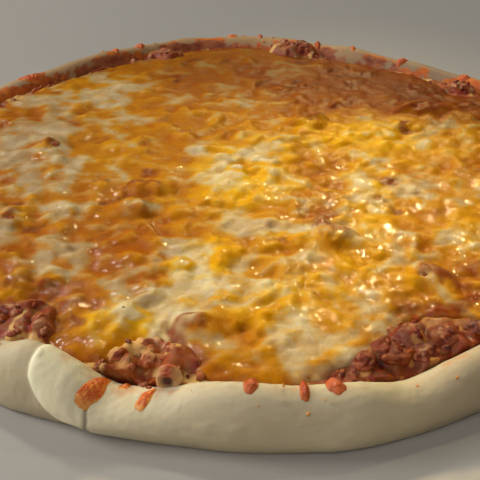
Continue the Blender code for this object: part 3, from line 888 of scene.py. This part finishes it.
def sheet_faces(count):
    """Quads of a square grid, its skirt down to a second edge, and a fan underneath."""
    index = np.arange(count * count).reshape(count, count)
    top = np.stack([index[:-1, :-1], index[:-1, 1:], index[1:, 1:], index[1:, :-1]], -1).reshape(-1, 4)
    rim = np.concatenate([index[0, :-1], index[:-1, -1], index[-1, :0:-1], index[:0:-1, 0]])
    low_rim = count * count + np.arange(len(rim))
    skirt = np.stack([low_rim, np.roll(low_rim, -1), np.roll(rim, -1), rim], -1)
    fan = np.stack([np.roll(low_rim, -1), low_rim, np.full(len(rim), low_rim[-1] + 1)], -1)
    return [top, skirt, fan], rim


grid_azimuth, grid_share = disc_grid(CHEESE_GRID)
grid_azimuth = (grid_azimuth + 180) % 360 - 180
sheet = polar(grid_azimuth, cheese_reach(grid_azimuth) * grid_share, 0.0)
sheet[..., 2] = from_map(cheese_top, sheet)
faces, rim = sheet_faces(CHEESE_GRID)
inwards = np.clip((1 - grid_share) * CHEESE_GRID / 2, 0, 2) / 2
sheet[..., 2] -= EDGE_DROP * (1 - inwards) ** 2
tucked = sheet.reshape(-1, 3)[rim] * (TUCK_SHARE, TUCK_SHARE, 1) - (0, 0, TUCK_DEPTH)
cheese_points = np.concatenate([sheet.reshape(-1, 3), tucked, [[0, 0, SAUCE_MIDDLE]]])
print("the edge of the sheet has", len(rim), "points")

# %% [markdown]
# ### The colours of the cheese
#
# The paint is soft: the two cheeses bled into each other over a few millimetres, drawn out into streaks
# where the sheet slid. Meat shows through as a tint wherever the sheet is thin: on bare spots, on the
# tops of mounds, in the hollows between them and along the edge. The tops of the beads are painted cream,
# partly the beads' own cheese and partly painted light, and the bright share is raised on the tops of the
# relief and lowered in its hollows, as painted light and shade.

# %% Cheese paint
kinds = np.where(beads > 0.3, cream + (bead_kind - cream) * bead_zone, cream)
drawn = (0.6 * streaks(9, 1.6, 2, 44) + 0.4 * streaks(4, 0.9, 6, 45)) * smooth(map_x, 50, 15)
drawn += (0.6 * streaks(9, 1.6, 58, 48) + 0.4 * streaks(4, 0.9, 50, 49)) * smooth(map_x, 15, 50)
melting = 0.5 * blur(kinds, 0.9) + 0.5 * blur(kinds, 3.0) + 0.1 * drawn + 0.05 * clouds(0.9, 50)
# Cream on the bead tops and less cream low on them: partly the beads' own cheese, partly painted light on
# their tops.
bead_tops = smooth(blur(beads, 0.7), 1.3, 3.2) * bead_zone * smooth(clouds(6.0, 61), -0.6, 0.9)
melting -= 0.16 * bead_zone * smooth(blur(beads, 0.7), 2.6, 1.4) * zone(10, 5, 70, 45)
cream_seen = np.clip(np.maximum(melting, bead_tops), 0, 1)
showing = smooth(bare, 0.3, 0.9) * smooth(clouds(1.8, 41) + 0.5 * clouds(0.8, 42), -1.3, 0.9)
on_tops = 0.25 * smooth(blur(mounds, 1.0), 1.2, 2.6) * smooth(clouds(4.0, 46), 0.0, 1.4)
hollows = 0.12 * smooth(relief - blur(relief, 5.0), -0.1, -0.9)
edge_clouds = clouds(2.5, 43) + 0.5 * clouds(1.0, 52)
thin_edge = 0.65 * smooth(map_share, 0.93, 1.0) * smooth(edge_clouds, -0.6, 0.9)
back_right = 0.6 * zone(84, 88, 50, 42) * smooth(clouds(3.5, 51), -1.7, 0.5)
on_lumps = 0.75 * near_lump * smooth(clouds(1.6, 67), -1.0, 0.9)
meat_seen = blur(np.maximum(showing, on_tops), 0.6) + thin_edge + on_lumps + hollows + back_right
# Painted light and shade: the bright share rises on the tops of the relief and falls in its hollows.
risen = blur(relief, 0.7) - blur(relief, 4.0)
oiled = wet * smooth(clouds(2.5, 47), -0.6, 0.9) * (1 - 0.5 * cream_seen)
paint_map = [cream_seen, np.clip(meat_seen, 0, 1), np.clip(blur(bright, 2) + 0.25 * risen, 0, 1), oiled]
cheese_paint = np.stack([from_map(field, cheese_points) for field in paint_map], -1)
print("cream shows on", round(float(cream_seen[map_share < 1].mean() * 100)), "percent of the sheet")

# %% [markdown]
# ### The finish of the cheese
#
# The orange cheese is translucent: thin it is a deep amber over the meat, thick it is a bright egg
# yellow. The cream cheese scatters more light and looks almost opaque. Both sweat oil, which makes a thin
# gloss over a surface full of tiny wrinkles, and each ripple of the oil catches its own glint of a low
# light. So the shader gets a colour from the paint, light that travels a few millimetres inside, wrinkles
# in the cheese itself, and over them a sharp coat with ripples of three sizes, the two small ones only
# where it is wet. Towards the back the colour is painted darker, as shade.

# %% Cheese finish
cheese_finish = new_finish(
    "cheese", Roughness=0.4, Specular_IOR_Level=0.06, Subsurface_Weight=0.5,
    Subsurface_Radius=(0.0040, 0.0024, 0.0006), Subsurface_Scale=0.8,
    Coat_Roughness=0.06)
is_cream, is_meat, thick_and_lit_share, is_wet = painted()
rightwards, backwards = axes()
to_right = fade(scaled(rightwards, 12.0, 0.1), 0.2, 0.7)
strand = blend(to_right, drawn_noise(6, 1.8, 3, 4), drawn_noise(6, 1.6, 55, 4))
uneven = unevenness(2.0)
cream_amount = scaled(uneven, 0.5, is_cream)
cream_amount = scaled(scaled(strand, 1.0, -0.5), 0.55, cream_amount)
deep = ramp(cream_amount, (0.15, (166, 92, 10)), (0.4, (174, 106, 26)),
            (0.6, (184, 130, 64)), (0.8, (178, 144, 98)), (1.0, (184, 160, 126)))
sunny = ramp(cream_amount, (0.15, (232, 175, 12)), (0.4, (234, 184, 30)),
             (0.6, (224, 188, 92)), (0.8, (222, 200, 144)), (1.0, (226, 212, 176)))
# Egg yellow where the sheet is thick and where light is painted, deep amber elsewhere.
melt = blend(thick_and_lit_share, deep, sunny)
patchy = fade(noise(10, 5), 0.35, 0.7, 0.6)
melt = blend(patchy, melt, (225, 190, 110), "MULTIPLY")
brown = ramp(noise(4.0, 5, 0.65), (0.32, (84, 26, 10)), (0.42, (142, 52, 18)),
             (0.5, (130, 68, 28)), (0.6, (144, 90, 50)), (0.7, (174, 122, 66)))
meat_amount = scaled(uneven, 0.5, is_meat)
melt = blend(fade(meat_amount, 0.15, 1.0, 0.9), melt, brown)
# Painted shade: the colour darkens towards the back and the back right.
back_shade = scaled(rightwards, 3.0, scaled(backwards, 7.0))
melt = blend(fade(back_shade, 0.3, 0.7), melt, (206, 188, 150), "MULTIPLY")
plug("Base Color", melt)
plug("Coat Weight", fade(scaled(uneven, 0.3, is_wet), 0.08, 0.6, 0.85))
plug("Roughness", ramp(noise(14, 3), (0.35, 0.32), (0.7, 0.5)))
plug("Normal", bump(noise(2.5, 4, 0.55, 0.5), 0.35))
film = bump(drawn_noise(7.0, 5.0, 28, 1), 0.5)
for long, short, turn, depth in ((3.4, 1.5, 8, 0.75), (1.2, 0.7, 20, 0.26)):
    film = bump(scaled(drawn_noise(long, short, turn, 1), is_wet), depth, film)
plug("Coat Normal", film)

make_piece("cheese_sheet", cheese_points, faces, cheese_finish, ["cheese"], cheese_paint)

# %% [markdown]
# ## The meat sauce
#
# Where the cheese stops, the layer under it shows: crumbles of ground meat, wet with tomato and
# fat. Only the outer part can be seen, so the rings of this surface are crowded there. Its relief
# is a second set of pressed lumps, and every lump leaves its own tone on the map, because no two
# crumbs of fried meat have the same colour.

# %% Meat sauce surface
INTO_DOUGH, SKIRT_INSET = 0.25, 1.5
sauce_steps = np.linspace(-180, 180, 1400, endpoint=False)
sauce_shares = np.concatenate([np.linspace(0.15, 0.8, 8)[:-1], np.linspace(0.8, 1.0, 54)])
ring_azimuth, ring_share = np.meshgrid(sauce_steps, sauce_shares)
nudge = np.stack([0.9 * clouds(1.3, 73), 0.9 * clouds(1.3, 74), np.zeros_like(map_x)], -1)
lumps = np.zeros_like(map_x)
tones = np.full_like(map_x, 0.2)
rng = np.random.default_rng(51)
for x, y in scattered(2600, 152):
    press_lump(lumps, x, y, rng.uniform(3.0, 7.5), rng.uniform(0.6, 3.2), rng.uniform(0, 6),
               tones, rng.random(), power=0.75)
lumps, tones = (from_map(field, map_points + nudge) for field in (lumps, tones))
film_level = 1.5 + 0.55 * clouds(4.5, 56) + 0.6 * zone(75, -105, 45, 30)
in_gap = smooth(map_distance - cheese_reach(map_azimuth), -2.0, 1.0)
covered = np.logaddexp(3 * blur(lumps, 0.5), 3 * film_level) / 3
heaped = 1.2 * in_gap * smooth(clouds(5, 53), -0.5, 1.5)
sauce_top = map_sauce - 0.3 + (covered - 1.1 + 0.2 * clouds(0.9, 59)) * in_gap + heaped
sauce_top = np.logaddexp(sauce_top * 2, (sauce_bank + 0.9 * blur(lumps, 0.5) - 1.0) * 2) / 2
wall = inner_wall(ring_azimuth, sauce_edge(ring_azimuth)) + INTO_DOUGH
topping = polar(ring_azimuth, wall * ring_share, 0.0)
topping[..., 2] = from_map(sauce_top, topping)
skirt = polar(sauce_steps, wall[-1] - SKIRT_INSET, FLOOR + 0.2)[None]
base = skirt * (0.3, 0.3, 1)
sauce_rings = np.concatenate([base, skirt, topping[::-1]])
print("the sauce has", len(sauce_rings), "rings of", len(sauce_steps), "points")

# %% [markdown]
# The paint gives each crumb its tone, how high it stands out of the sauce, and how much glaze and
# cream it has. Cream cheese is draped over the tops of the heaps at the front.

# %% Meat sauce paint
glaze = smooth(clouds(3.5, 54) + 0.6 * clouds(1.2, 55), -0.4, 1.2)
creamy = smooth(clouds(2.2, 57) + 0.6 * clouds(0.9, 58), 0.8, 1.9)
run_over = 0.9 * zone(-50, -137, 13, 8) + 0.8 * zone(58, -113, 12, 7)
run_over *= smooth(clouds(1.6, 75), -0.8, 0.4)
draped = 1.1 * zone(-44, -128, 17, 11) + 0.9 * zone(62, -110, 20, 9)
draped *= smooth(clouds(2.4, 76), -0.5, 0.5)
creamy = np.max([creamy, run_over, draped], axis=0)
sauce_map = [blur(tones, 0.6), smooth(lumps - film_level, -0.5, 1.0), glaze, creamy]
topping_paint = np.stack([from_map(field, topping) for field in sauce_map], -1)
unpainted = np.zeros((2, len(sauce_steps), 4))
sauce_paint = close_rings(np.concatenate([unpainted, topping_paint[::-1]]))
print("meat stands out of the sauce on", round(float((sauce_map[1] > 0.5).mean() * 100)), "percent of it")

# %% [markdown]
# Ground meat is tan where it was fried, pink where fat coats it, and dark red where sauce lies in its
# cracks; the dark red between its grains is also painted shade. Melted orange cheese has run over parts
# of it as a glaze. No single ramp holds all of that, so the colours are laid over each other: meat,
# sauce, glaze, cream. At the front right the meat is painted darker, as shade. A thin wet coat with
# ripples of its own gives the glints of fat.

# %% Meat finish
meat_finish = new_finish(
    "ground_meat", Roughness=0.5, Specular_IOR_Level=0.15, Subsurface_Weight=0.35,
    Subsurface_Radius=(0.0040, 0.0016, 0.0008), Subsurface_Scale=1.0, Coat_Weight=0.36,
    Coat_Roughness=0.06)
tone, is_proud, glazed, creamed = painted()
mottle = unevenness(2.4)
mottled = scaled(mottle, 2.2, tone)
patch = scaled(mottle, 0.5, noise(4.0, 4, 0.65))
meat = ramp(patch, (0.38, (122, 28, 14)), (0.43, (158, 58, 28)), (0.48, (170, 88, 50)),
            (0.54, (190, 122, 88)), (0.61, (214, 172, 136)))
meat = blend(fade(noise(7.0, 3), 0.48, 0.62, 0.36), meat, (146, 108, 90))
shade = ramp(mottled, (0.0, (156, 120, 98)), (0.5, (216, 198, 182)), (1.0, (255, 250, 246)))
meat = blend(1.0, meat, shade, "MULTIPLY")
# Dark red where the meat sits low in the sauce and between its grains: sauce in the cracks, and painted
# shade in the crevices.
sauce_and_crevice_shade = ramp(noise(4.5, 5), (0.32, (98, 32, 18)), (0.44, (150, 54, 24)), (0.54, (140, 76, 34)),
              (0.66, (168, 112, 62)))
meat = blend(fade(scaled(mottle, 1.0, is_proud), 0.2, 0.9), sauce_and_crevice_shade, meat)
film = fade(scaled(mottle, 1.2, glazed), 0.3, 1.1, 0.55)
amber = ramp(noise(3.5, 3), (0.35, (134, 54, 10)), (0.65, (186, 100, 22)))
meat = blend(film, meat, amber)
creaming = fade(scaled(mottle, 0.8, creamed), 0.3, 0.9, 0.85)
meat = blend(creaming, meat, (222, 178, 104))
rightwards, backwards = axes()
# Painted shade: the meat at the front right is darkened.
front_right_shade = scaled(rightwards, 6.0, scaled(backwards, -4.0))
meat = blend(fade(front_right_shade, 0.58, 0.8), meat, (216, 186, 160), "MULTIPLY")
plug("Base Color", meat)
plug("Normal", bump(noise(1.8, 4, 0.6), 0.25))
plug("Coat Normal", bump(noise(1.2, 3), 0.8))

make_piece("meat_in_sauce", close_rings(sauce_rings), tube_faces(len(sauce_rings), len(sauce_steps)),
           meat_finish, ["meat_sauce"], sauce_paint)

# %% [markdown]
# ## Lumps and crumbs of meat
#
# The larger lumps are solids in the frame, so their places and sizes are read from their boxes.
# A lump of mince is a bunch of grains pressed together. For each direction from the lump's middle,
# the radius is that of whichever grain reaches farthest there, so the grains meet in sharp
# valleys. A ball of rings and columns closes at its poles.

# %% Lumps
LUMP_RINGS, LUMP_COLUMNS, LUMP_GRAINS = 34, 56, 60


def ball_directions(rings, columns):
    """Unit vectors on rings from the south pole to the north pole, without the poles."""
    rise = np.linspace(-90, 90, rings + 2)[1:-1]
    azimuth, climb = np.meshgrid(np.linspace(0, 360, columns, endpoint=False), rise)
    return polar(azimuth, np.cos(np.radians(climb)), np.sin(np.radians(climb)))


def grain_balls(middles, sizes, turns, rings, columns, grains, width, rough, seed):
    """Lumps of grains: radius = 1 - rough + rough * the farthest grain's dome + two fine swells."""
    rng = np.random.default_rng(seed)
    way = ball_directions(rings, columns).reshape(-1, 3)
    count = len(middles)
    grain_ways = rng.normal(size=(count, grains, 3))
    grain_ways /= np.linalg.norm(grain_ways, axis=-1, keepdims=True)
    grain_tall = rng.uniform(0.3, 1.0, (count, 1, grains))
    away = np.linalg.norm(way[None, :, None] - grain_ways[:, None], axis=-1)
    dome = grain_tall - (away / width) ** 2
    best = np.clip(np.log(np.exp(6 * np.maximum(dome, -1)).sum(-1)) / 6, -0.8, 1.2)
    tone = np.take_along_axis(rng.random((count, grains)), dome.argmax(-1), 1)
    crooked = swells(way[None] + 7.0 * middles[:, None], 3.4, seed + 1)
    fine = swells(way[None] + 5.0 * middles[:, None], 1.1, seed + 2)
    radius = 1 - rough + rough * best + 0.11 * crooked + 0.035 * fine
    body = way * radius[..., None] * sizes[:, None] / 2
    c, s = np.cos(turns)[:, None], np.sin(turns)[:, None]
    right, back, up = np.moveaxis(body, -1, 0)
    turned = np.stack([right * c - back * s, right * s + back * c, up], -1)
    placed = (turned + middles[:, None]).reshape(count, rings, columns, 3)
    tone = 0.5 * tone + 0.5 * rng.random((count, 1))
    filmed = 0.9 * (rng.random((count, 1)) < 0.4)
    film = np.clip(filmed * smooth(crooked + way[None, :, 2], -0.3, 1.2), 0, 1)
    pale = 0.35 * (rng.random((count, 1)) < 0.08)
    # The second paint number is low in the valleys between grains; the meat finish paints them dark red,
    # as sauce and painted shade.
    paint = np.stack(np.broadcast_arrays(tone, smooth(best, -0.5, 0.5), film, pale), -1)
    paint = paint.reshape(count, rings, columns, 4)
    points, paint = (np.concatenate([close_rings(one) for one in part]) for part in (placed, paint))
    return points, many_tubes(count, rings, columns), paint

# %% [markdown]
# Each large lump sits at the middle of its solid, a little lower, so that sheet or sauce closes
# round it. Its foot is painted as glazed and sunk in sauce, and the tops of the lumps in front
# take the cream cheese that drapes over them.

# %% Large lumps
resting = lump_middles.copy()
resting[:, 2] = boxes[:, 0, 2] + (0.38 - 0.28 * on_sheet) * lump_sizes[:, 2]
lump_points, lump_faces, lump_paint = grain_balls(
    resting, lump_sizes * (1.1, 1.1, 1.02), np.zeros(len(boxes)), LUMP_RINGS, LUMP_COLUMNS,
    LUMP_GRAINS, 0.44, 0.3, 61)
risen = ((lump_points[:, 2].reshape(len(boxes), -1) - boxes[:, :1, 2]) / lump_sizes[:, 2:]).ravel()
lump_paint[:, 1] *= smooth(risen, 0.3, 0.75)
lump_paint[:, 2] = np.maximum(lump_paint[:, 2], smooth(risen, 0.75, 0.4) * 0.8)
lump_paint[:, 3] = np.maximum(lump_paint[:, 3], from_map(draped, lump_points) * smooth(risen, 0.35, 0.8))
lump_points[:, 2] = np.clip(lump_points[:, 2], FLOOR + 1, ceiling)
make_piece("meat_lumps", lump_points, lump_faces, meat_finish, lump_nodes, lump_paint)

# %% [markdown]
# Smaller crumbs lie loose where the cheese stops short of the rim. They are the same kind of
# bunch with fewer grains and faces, because there are over a hundred.

# %% Loose crumbs
rng = np.random.default_rng(71)
places = scattered(9000, 151)
gap_here = from_map(in_gap, places)
azimuths = np.degrees(np.arctan2(places[:, 1], places[:, 0]))
inside_wall = np.hypot(*places.T) < inner_wall(azimuths, 15) - 2.0
keep = rng.random(len(places)) < 0.2 * gap_here * inside_wall
places, gap_here = places[keep], gap_here[keep]
crumb_size = rng.uniform(2.0, 5.0, len(places))[:, None] * rng.uniform(0.6, 1.3, (len(places), 3))
ground = np.where(gap_here > 0.5, from_map(sauce_top, places), from_map(cheese_top, places) - 0.9)
crumb_middles = np.stack([places[:, 0], places[:, 1], ground - 0.05 * crumb_size[:, 2]], -1)
crumb_points, crumb_faces, crumb_paint = grain_balls(
    crumb_middles, crumb_size, rng.uniform(0, 6, len(places)), 6, 10, 14, 0.8, 0.4, 72)
crumb_points[:, 2] = np.minimum(crumb_points[:, 2], ceiling)
make_piece("meat_crumbs", crumb_points, crumb_faces, meat_finish, (), crumb_paint)
print(len(places), "loose crumbs")

# %% [markdown]
# ## Cheese baked onto the rim
#
# Where the topping boiled over, drops of orange cheese ran onto the rim and baked there. Each has
# a place in azimuth and turn, like its solid: where it starts low on the rim and where it ends
# towards the topping. A drop is a cushion on that patch of skin. Its rings shrink to a point
# under the skin and again at the middle of the drop, so it is closed. The relief is bubbly, since
# the cheese fried in its own fat.

# %% Drops: azimuth, turns from and to, width, slant, thickness
DROPS = (
    (-108.9, 1.45, 0.28, 8.8, -0.65, 0.9), (-106.2, 1.60, 1.00, 5.2, -0.2, 0.7),
    (-102.9, 1.30, 0.54, 6.2, -0.6, 1.0), (-90.8, 1.55, 0.80, 7.0, -0.3, 1.6),
    (-84.9, 1.50, 0.70, 4.6, 0.0, 2.0), (-81.4, 1.60, 0.80, 8.0, 0.35, 2.0),
    (-123.0, 1.25, 0.85, 5.0, 0.0, 0.9), (93.7, 1.15, 0.62, 10.0, 0.0, 1.3),
    (87.6, 1.10, 0.70, 5.0, 0.0, 1.8), (74.3, 1.40, 0.62, 5.5, 0.4, 2.2),
    (65.7, 1.25, 0.75, 5.0, 0.5, 1.3), (53.8, 1.45, 0.66, 9.0, 0.0, 1.6),
    (39.6, 1.45, 0.60, 10.0, 0.6, 1.6), (114.5, 1.30, 0.66, 10.0, 0.0, 1.4),
    (120.4, 1.20, 0.70, 7.0, 0.0, 1.3), (141.5, 1.45, 0.70, 26.0, 0.0, 1.3),
    (-163.0, 1.35, 0.72, 6.0, 0.4, 1.1), (-30.0, 1.30, 0.66, 6.0, -0.4, 1.2),
    (8.0, 1.35, 0.72, 6.0, 0.3, 1.1),
)
DROP_RINGS, DROP_COLUMNS = 20, 56


def drop_rings(azimuth, start, end, width, slant, thick, seed):
    """Rings of one drop: a blunt outline in azimuth and turn, cushioned by (1 - share^2)^1.3."""
    under, over = np.array([0.5, 1.0]), np.linspace(1, 0.06, DROP_RINGS)
    share = np.concatenate([under, over])[:, None]
    angle = (np.arange(DROP_COLUMNS) + 0.5)[None] * 2 * np.pi / DROP_COLUMNS
    along = np.sign(np.sin(angle)) * np.abs(np.sin(angle)) ** 0.92
    across = np.sign(np.cos(angle)) * np.abs(np.cos(angle)) ** 0.9
    ragged = 1 + 0.06 * np.cos(3 * angle + seed) + 0.04 * np.cos(5 * angle + 2 * seed)
    ragged = ragged + 0.02 * np.cos(8 * angle + seed)
    across = across * (1 - 0.3 * (1 + along)) * ragged
    half = math.degrees(width / 2 / (RADIUS - CREST_INSET))
    at = azimuth + share * (across * half - along * slant)
    turn = (start + end) / 2 + share * along * ragged * (start - end) / 2
    flat = rim_point(at, turn)
    cushion = thick * np.clip(1 - share**2, 0, 1) ** 1.3 * (0.85 + 0.1 * share * along)
    bubbles = 0.14 * swells(flat, 2.6, 81) + 0.08 * swells(flat, 1.2, 82)
    top = cushion * (1 + 0.9 * bubbles) - 0.12 * share
    proud = skin_relief(flat) + np.where(np.arange(len(share))[:, None] < 2, -0.5, top)
    body = rim_point(at, turn, proud)
    redder = smooth(thick, 1.1, 1.6)
    tone = np.stack(np.broadcast_arrays(0.5 + 0.5 * share * along, cushion / thick, redder, 1.0), -1)
    return close_rings(body), close_rings(tone)


each = [drop_rings(*drop, seed=1.37 * k + 0.4) for k, drop in enumerate(DROPS)]
drop_points, drop_paint = (np.concatenate(part) for part in zip(*each))
drop_faces = many_tubes(len(DROPS), DROP_RINGS + 2, DROP_COLUMNS)
drop_nodes = sorted(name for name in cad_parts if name.startswith("cheese_drip"))
print(len(DROPS), "drops for", len(drop_nodes), "solids")

# %% [markdown]
# Baked cheese is darker and redder than the sheet, because it dried on the hot skin and carries
# the fat of the meat. Its low edge stays yellow where it is thick.

# %% Baked cheese finish
baked_finish = new_finish(
    "baked_cheese", Roughness=0.42, Specular_IOR_Level=0.35, Subsurface_Weight=0.3,
    Subsurface_Radius=(0.0030, 0.0012, 0.0005), Subsurface_Scale=0.6, Coat_Weight=0.25,
    Coat_Roughness=0.15)
is_up, is_thick, is_redder, _ = painted()
speckle = unevenness(1.6)
red = ramp(scaled(speckle, 2.0, is_thick),
           (0.0, (222, 164, 92)), (0.14, (234, 150, 60)), (0.38, (232, 122, 38)),
           (0.65, (206, 78, 22)), (1.0, (236, 138, 50)))
gold = ramp(noise(2.2, 3), (0.3, (216, 128, 44)), (0.7, (230, 168, 80)))
low_edge = ramp(scaled(speckle, 0.8, is_up), (0.0, 0.9), (0.4, 0.0))
baked = blend(low_edge, red, gold)
fatty = ramp(scaled(speckle, 1.0, 0.5), (0.35, (166, 54, 24)), (0.65, (212, 104, 50)))
baked = blend(scaled(is_redder, 0.8), baked, fatty)
plug("Base Color", baked)
fried = bump(noise(0.5, 2), 0.1, bump(noise(1.5, 4, 0.6, 0.5), 0.5))
plug("Normal", fried)
plug("Coat Normal", fried)

make_piece("rim_drops", drop_points, drop_faces, baked_finish, drop_nodes, drop_paint)

# %% [markdown]
# ## The burst bubble
#
# At the front a blister of cheese puffed up, burst and set. It is a little round shell, pale where the
# skin stretched and orange-red on top, with a mouth that faces outwards; the lower part of the mouth is
# painted dark, as shade inside the hollow. The shape is an ellipsoid: its face is pushed in where the
# mouth is and rolled out in a lip round it.

# %% Bubble
BUBBLE_RINGS, BUBBLE_COLUMNS = 46, 72
bubble_low, bubble_high = (np.array(corner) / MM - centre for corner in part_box("cheese_bubble"))
bubble_middle, bubble_size = (bubble_low + bubble_high) / 2, bubble_high - bubble_low
way = ball_directions(BUBBLE_RINGS, BUBBLE_COLUMNS)
wrinkled = 1 + 0.03 * swells(way * 3, 3.0, 91) + 0.015 * swells(way * 3, 1.2, 92)
facing = np.degrees(np.arctan2(bubble_middle[1], bubble_middle[0]))
outwards = way @ polar(facing, 1.0, 0.0)
sideways = way @ polar(facing + 90, 1.0, 0.0)
tilt = math.radians(24)
front = outwards * math.cos(tilt) + way[..., 2] * math.sin(tilt)
climb = way[..., 2] * math.cos(tilt) - outwards * math.sin(tilt)
mouth = np.hypot(sideways / 0.6, (climb + 0.36) / 0.56)
hollow = smooth(mouth, 1.0, 0.7) * (front > 0)
rolled = np.exp(-((mouth - 1.15) / 0.25) ** 2) * (front > 0)
body = way * (wrinkled - 0.4 * hollow + 0.1 * rolled)[..., None] * bubble_size / 2 * (0.99, 0.99, 1.12)
body = body + bubble_middle + polar(facing, 0.8, -0.5) + polar(facing - 90, 1.0, 0.0)
bubble_points = close_rings(body)
blush = np.exp(-((sideways / 0.5) ** 2)) * smooth(climb, -0.4, 0.0)
# Painted shade: the lower part of the hollow is painted dark.
bubble_paint = [hollow * smooth(climb, 0.22, -0.12), blush, np.zeros_like(blush), np.ones_like(blush)]
bubble_paint = close_rings(np.stack(bubble_paint, -1))

bubble_finish = new_finish(
    "bubble_skin", Roughness=0.35, Specular_IOR_Level=0.3, Subsurface_Weight=0.25,
    Subsurface_Radius=(0.0035, 0.0016, 0.0006), Subsurface_Scale=0.5, Coat_Weight=0.25,
    Coat_Roughness=0.12)
hollow_shade, is_top, _, _ = painted()
stretched = ramp(noise(2.5, 3), (0.3, (204, 156, 100)), (0.7, (222, 186, 134)))
toasted = ramp(noise(2.0, 4), (0.35, (158, 48, 10)), (0.65, (208, 96, 20)))
skin_colour = blend(is_top, stretched, toasted)
# Painted shade inside the hollow.
skin_colour = blend(hollow_shade, skin_colour, (84, 36, 32))
plug("Base Color", skin_colour)
plug("Normal", bump(noise(1.2, 3, 0.6), 0.2))
make_piece("burst_bubble", bubble_points, tube_faces(BUBBLE_RINGS, BUBBLE_COLUMNS), bubble_finish,
           ["cheese_bubble"], bubble_paint)

# %% [markdown]
# ## Herbs and specks
#
# A pinch of dried herbs lies on the topping: flat dark green flakes a millimetre across. They are
# the same small bunches as the crumbs, only flat and with fewer grains, since nobody sees more of
# so small a thing.

# %% Herbs
HERBS = 70
rng = np.random.default_rng(101)
places = scattered(HERBS, 140)
herb_size = rng.uniform(0.5, 1.2, HERBS)[:, None] * np.stack(
    [np.ones(HERBS), rng.uniform(0.4, 0.8, HERBS), np.full(HERBS, 0.3)], -1)
inside = map_share < 0.98
ground = from_map(np.where(inside, cheese_top, sauce_top), places)
herb_middles = np.stack([places[:, 0], places[:, 1], ground + 0.12], -1)
herb_points, herb_faces, _ = grain_balls(
    herb_middles, herb_size, rng.uniform(0, 6, HERBS), 4, 8, 5, 0.9, 0.2, 102)
herb_finish = new_finish("dried_herb", Roughness=0.6, Specular_IOR_Level=0.4)
plug("Base Color", ramp(noise(1.5, 3), (0.35, (58, 56, 20)), (0.65, (104, 100, 40))))
plug("Normal", bump(noise(0.4, 2), 0.1))
make_piece("herb_flakes", herb_points, herb_faces, herb_finish)

# %% [markdown]
# Specks of fat and cheese stick to the rim, most of them near its crest. They have random azimuths
# and turns, and `rim_point` puts them on the dough wherever it swells or slumps.

# %% Specks on the rim
SPECKS = 70
speck_azimuth, speck_turn = rng.uniform(-180, 180, SPECKS), rng.normal(1.0, 0.28, SPECKS)
speck_size = rng.uniform(0.5, 1.7, SPECKS)[:, None] * rng.uniform(0.6, 1.2, (SPECKS, 3))
speck_middles = rim_point(speck_azimuth, speck_turn, 0.1)
speck_points, speck_faces, _ = grain_balls(
    speck_middles, speck_size, rng.uniform(0, 6, SPECKS), 5, 8, 6, 0.9, 0.3, 103)
speck_paint = np.zeros((len(speck_points), 4))
make_piece("cheese_specks", speck_points, speck_faces, baked_finish, (), speck_paint)

# %% [markdown]
# ## Floor, light and camera
#
# The floor is plain and a little warm, and isn't part of the pizza.

# %% Floor
FLOOR_REACH = 3.0
floor_mesh = bpy.data.meshes.new("floor")
corners = [(x * FLOOR_REACH, y * FLOOR_REACH, 0) for x, y in ((-1, -1), (1, -1), (1, 1), (-1, 1))]
floor_mesh.from_pydata(corners, [], [(0, 1, 2, 3)])
floor = new_object("floor", floor_mesh)
floor_finish = new_finish("floor", Base_Color=(0.42, 0.405, 0.385, 1), Roughness=0.5,
                          Specular_IOR_Level=0.3)
floor_mesh.materials.append(floor_finish)
print("the floor is", 2 * FLOOR_REACH, "metres wide")

# %% [markdown]
# Food looks best lit from the side and from behind, because the light skims the surface and every
# wet ripple glints. A window at the left draws the broad highlights on the sheet and the dough, a
# small lamp at the back left adds sharp ones, and a large soft lamp at the front left fills the
# shadows. Two narrow warm spots behind the pizza light the glossy part right of the middle.

# %% Lamps
def lamp(kind, name, azimuth, elevation, distance, power, tint, aim=(0, 0, 0), **settings):
    """A light at a distance from the place it is aimed at, in metres, with settings of its kind."""
    light = bpy.data.lights.new(name, kind)
    light.energy, light.color = power, tint
    for setting, value in settings.items():
        setattr(light, setting, value)
    climb = math.radians(elevation)
    holder = new_object(name, light)
    holder.location = np.array(aim) + distance * polar(azimuth, math.cos(climb), math.sin(climb))
    holder.rotation_euler = (math.pi / 2 - climb, 0, math.radians(azimuth + 90))


lamp("AREA", "window", 175, 30, 1.8, 17.5, (1.0, 0.96, 0.9), size=0.6)
lamp("AREA", "glints", 130, 42, 1.8, 7.0, (1.0, 0.97, 0.84), size=0.18)
lamp("AREA", "fill", -112, 50, 2.2, 15.0, (1.0, 0.95, 0.88), size=1.6)
lamp("SPOT", "warm_pool", 62, 54, 2.0, 54.0, (1.0, 0.84, 0.52), (0.04, -0.042, 0.018),
     shadow_soft_size=0.15, spot_size=math.radians(7.4), spot_blend=1.0)
lamp("SPOT", "sparkle", 86, 36, 2.0, 148.0, (1.0, 0.8, 0.37), (0.055, -0.07, 0.018),
     shadow_soft_size=0.11, spot_size=math.radians(8.2), spot_blend=1.0)

world = bpy.data.worlds.new("room")
world.use_nodes = True
sky = world.node_tree.nodes["Background"].inputs
sky["Color"].default_value, sky["Strength"].default_value = (1.0, 0.93, 0.84, 1), 0.08
bpy.context.scene.world = world
bpy.context.scene.view_settings.view_transform = "Standard"
print(len(bpy.data.lights), "lamps")

# %% [markdown]
# The camera stands close in front and looks down, like someone who leans over the table. Its place
# is given in millimetres from the centre of the pizza, and its turn in degrees from straight down.

# %% Camera
LENS, SENSOR = 63.75, 36.0
FROM_CENTRE, UPRIGHT = (-5.7, -345.5, 197.0), 57.17

camera_data = bpy.data.cameras.new("camera")
camera_data.lens, camera_data.sensor_width = LENS, SENSOR
camera = new_object("camera", camera_data)
camera.location = (centre + FROM_CENTRE) * MM
camera.rotation_euler = (math.radians(UPRIGHT), 0, 0)
print("the camera is", round(math.dist(FROM_CENTRE, (0, 0, 0))), "mm from the centre")
bpy.context.scene.camera = camera
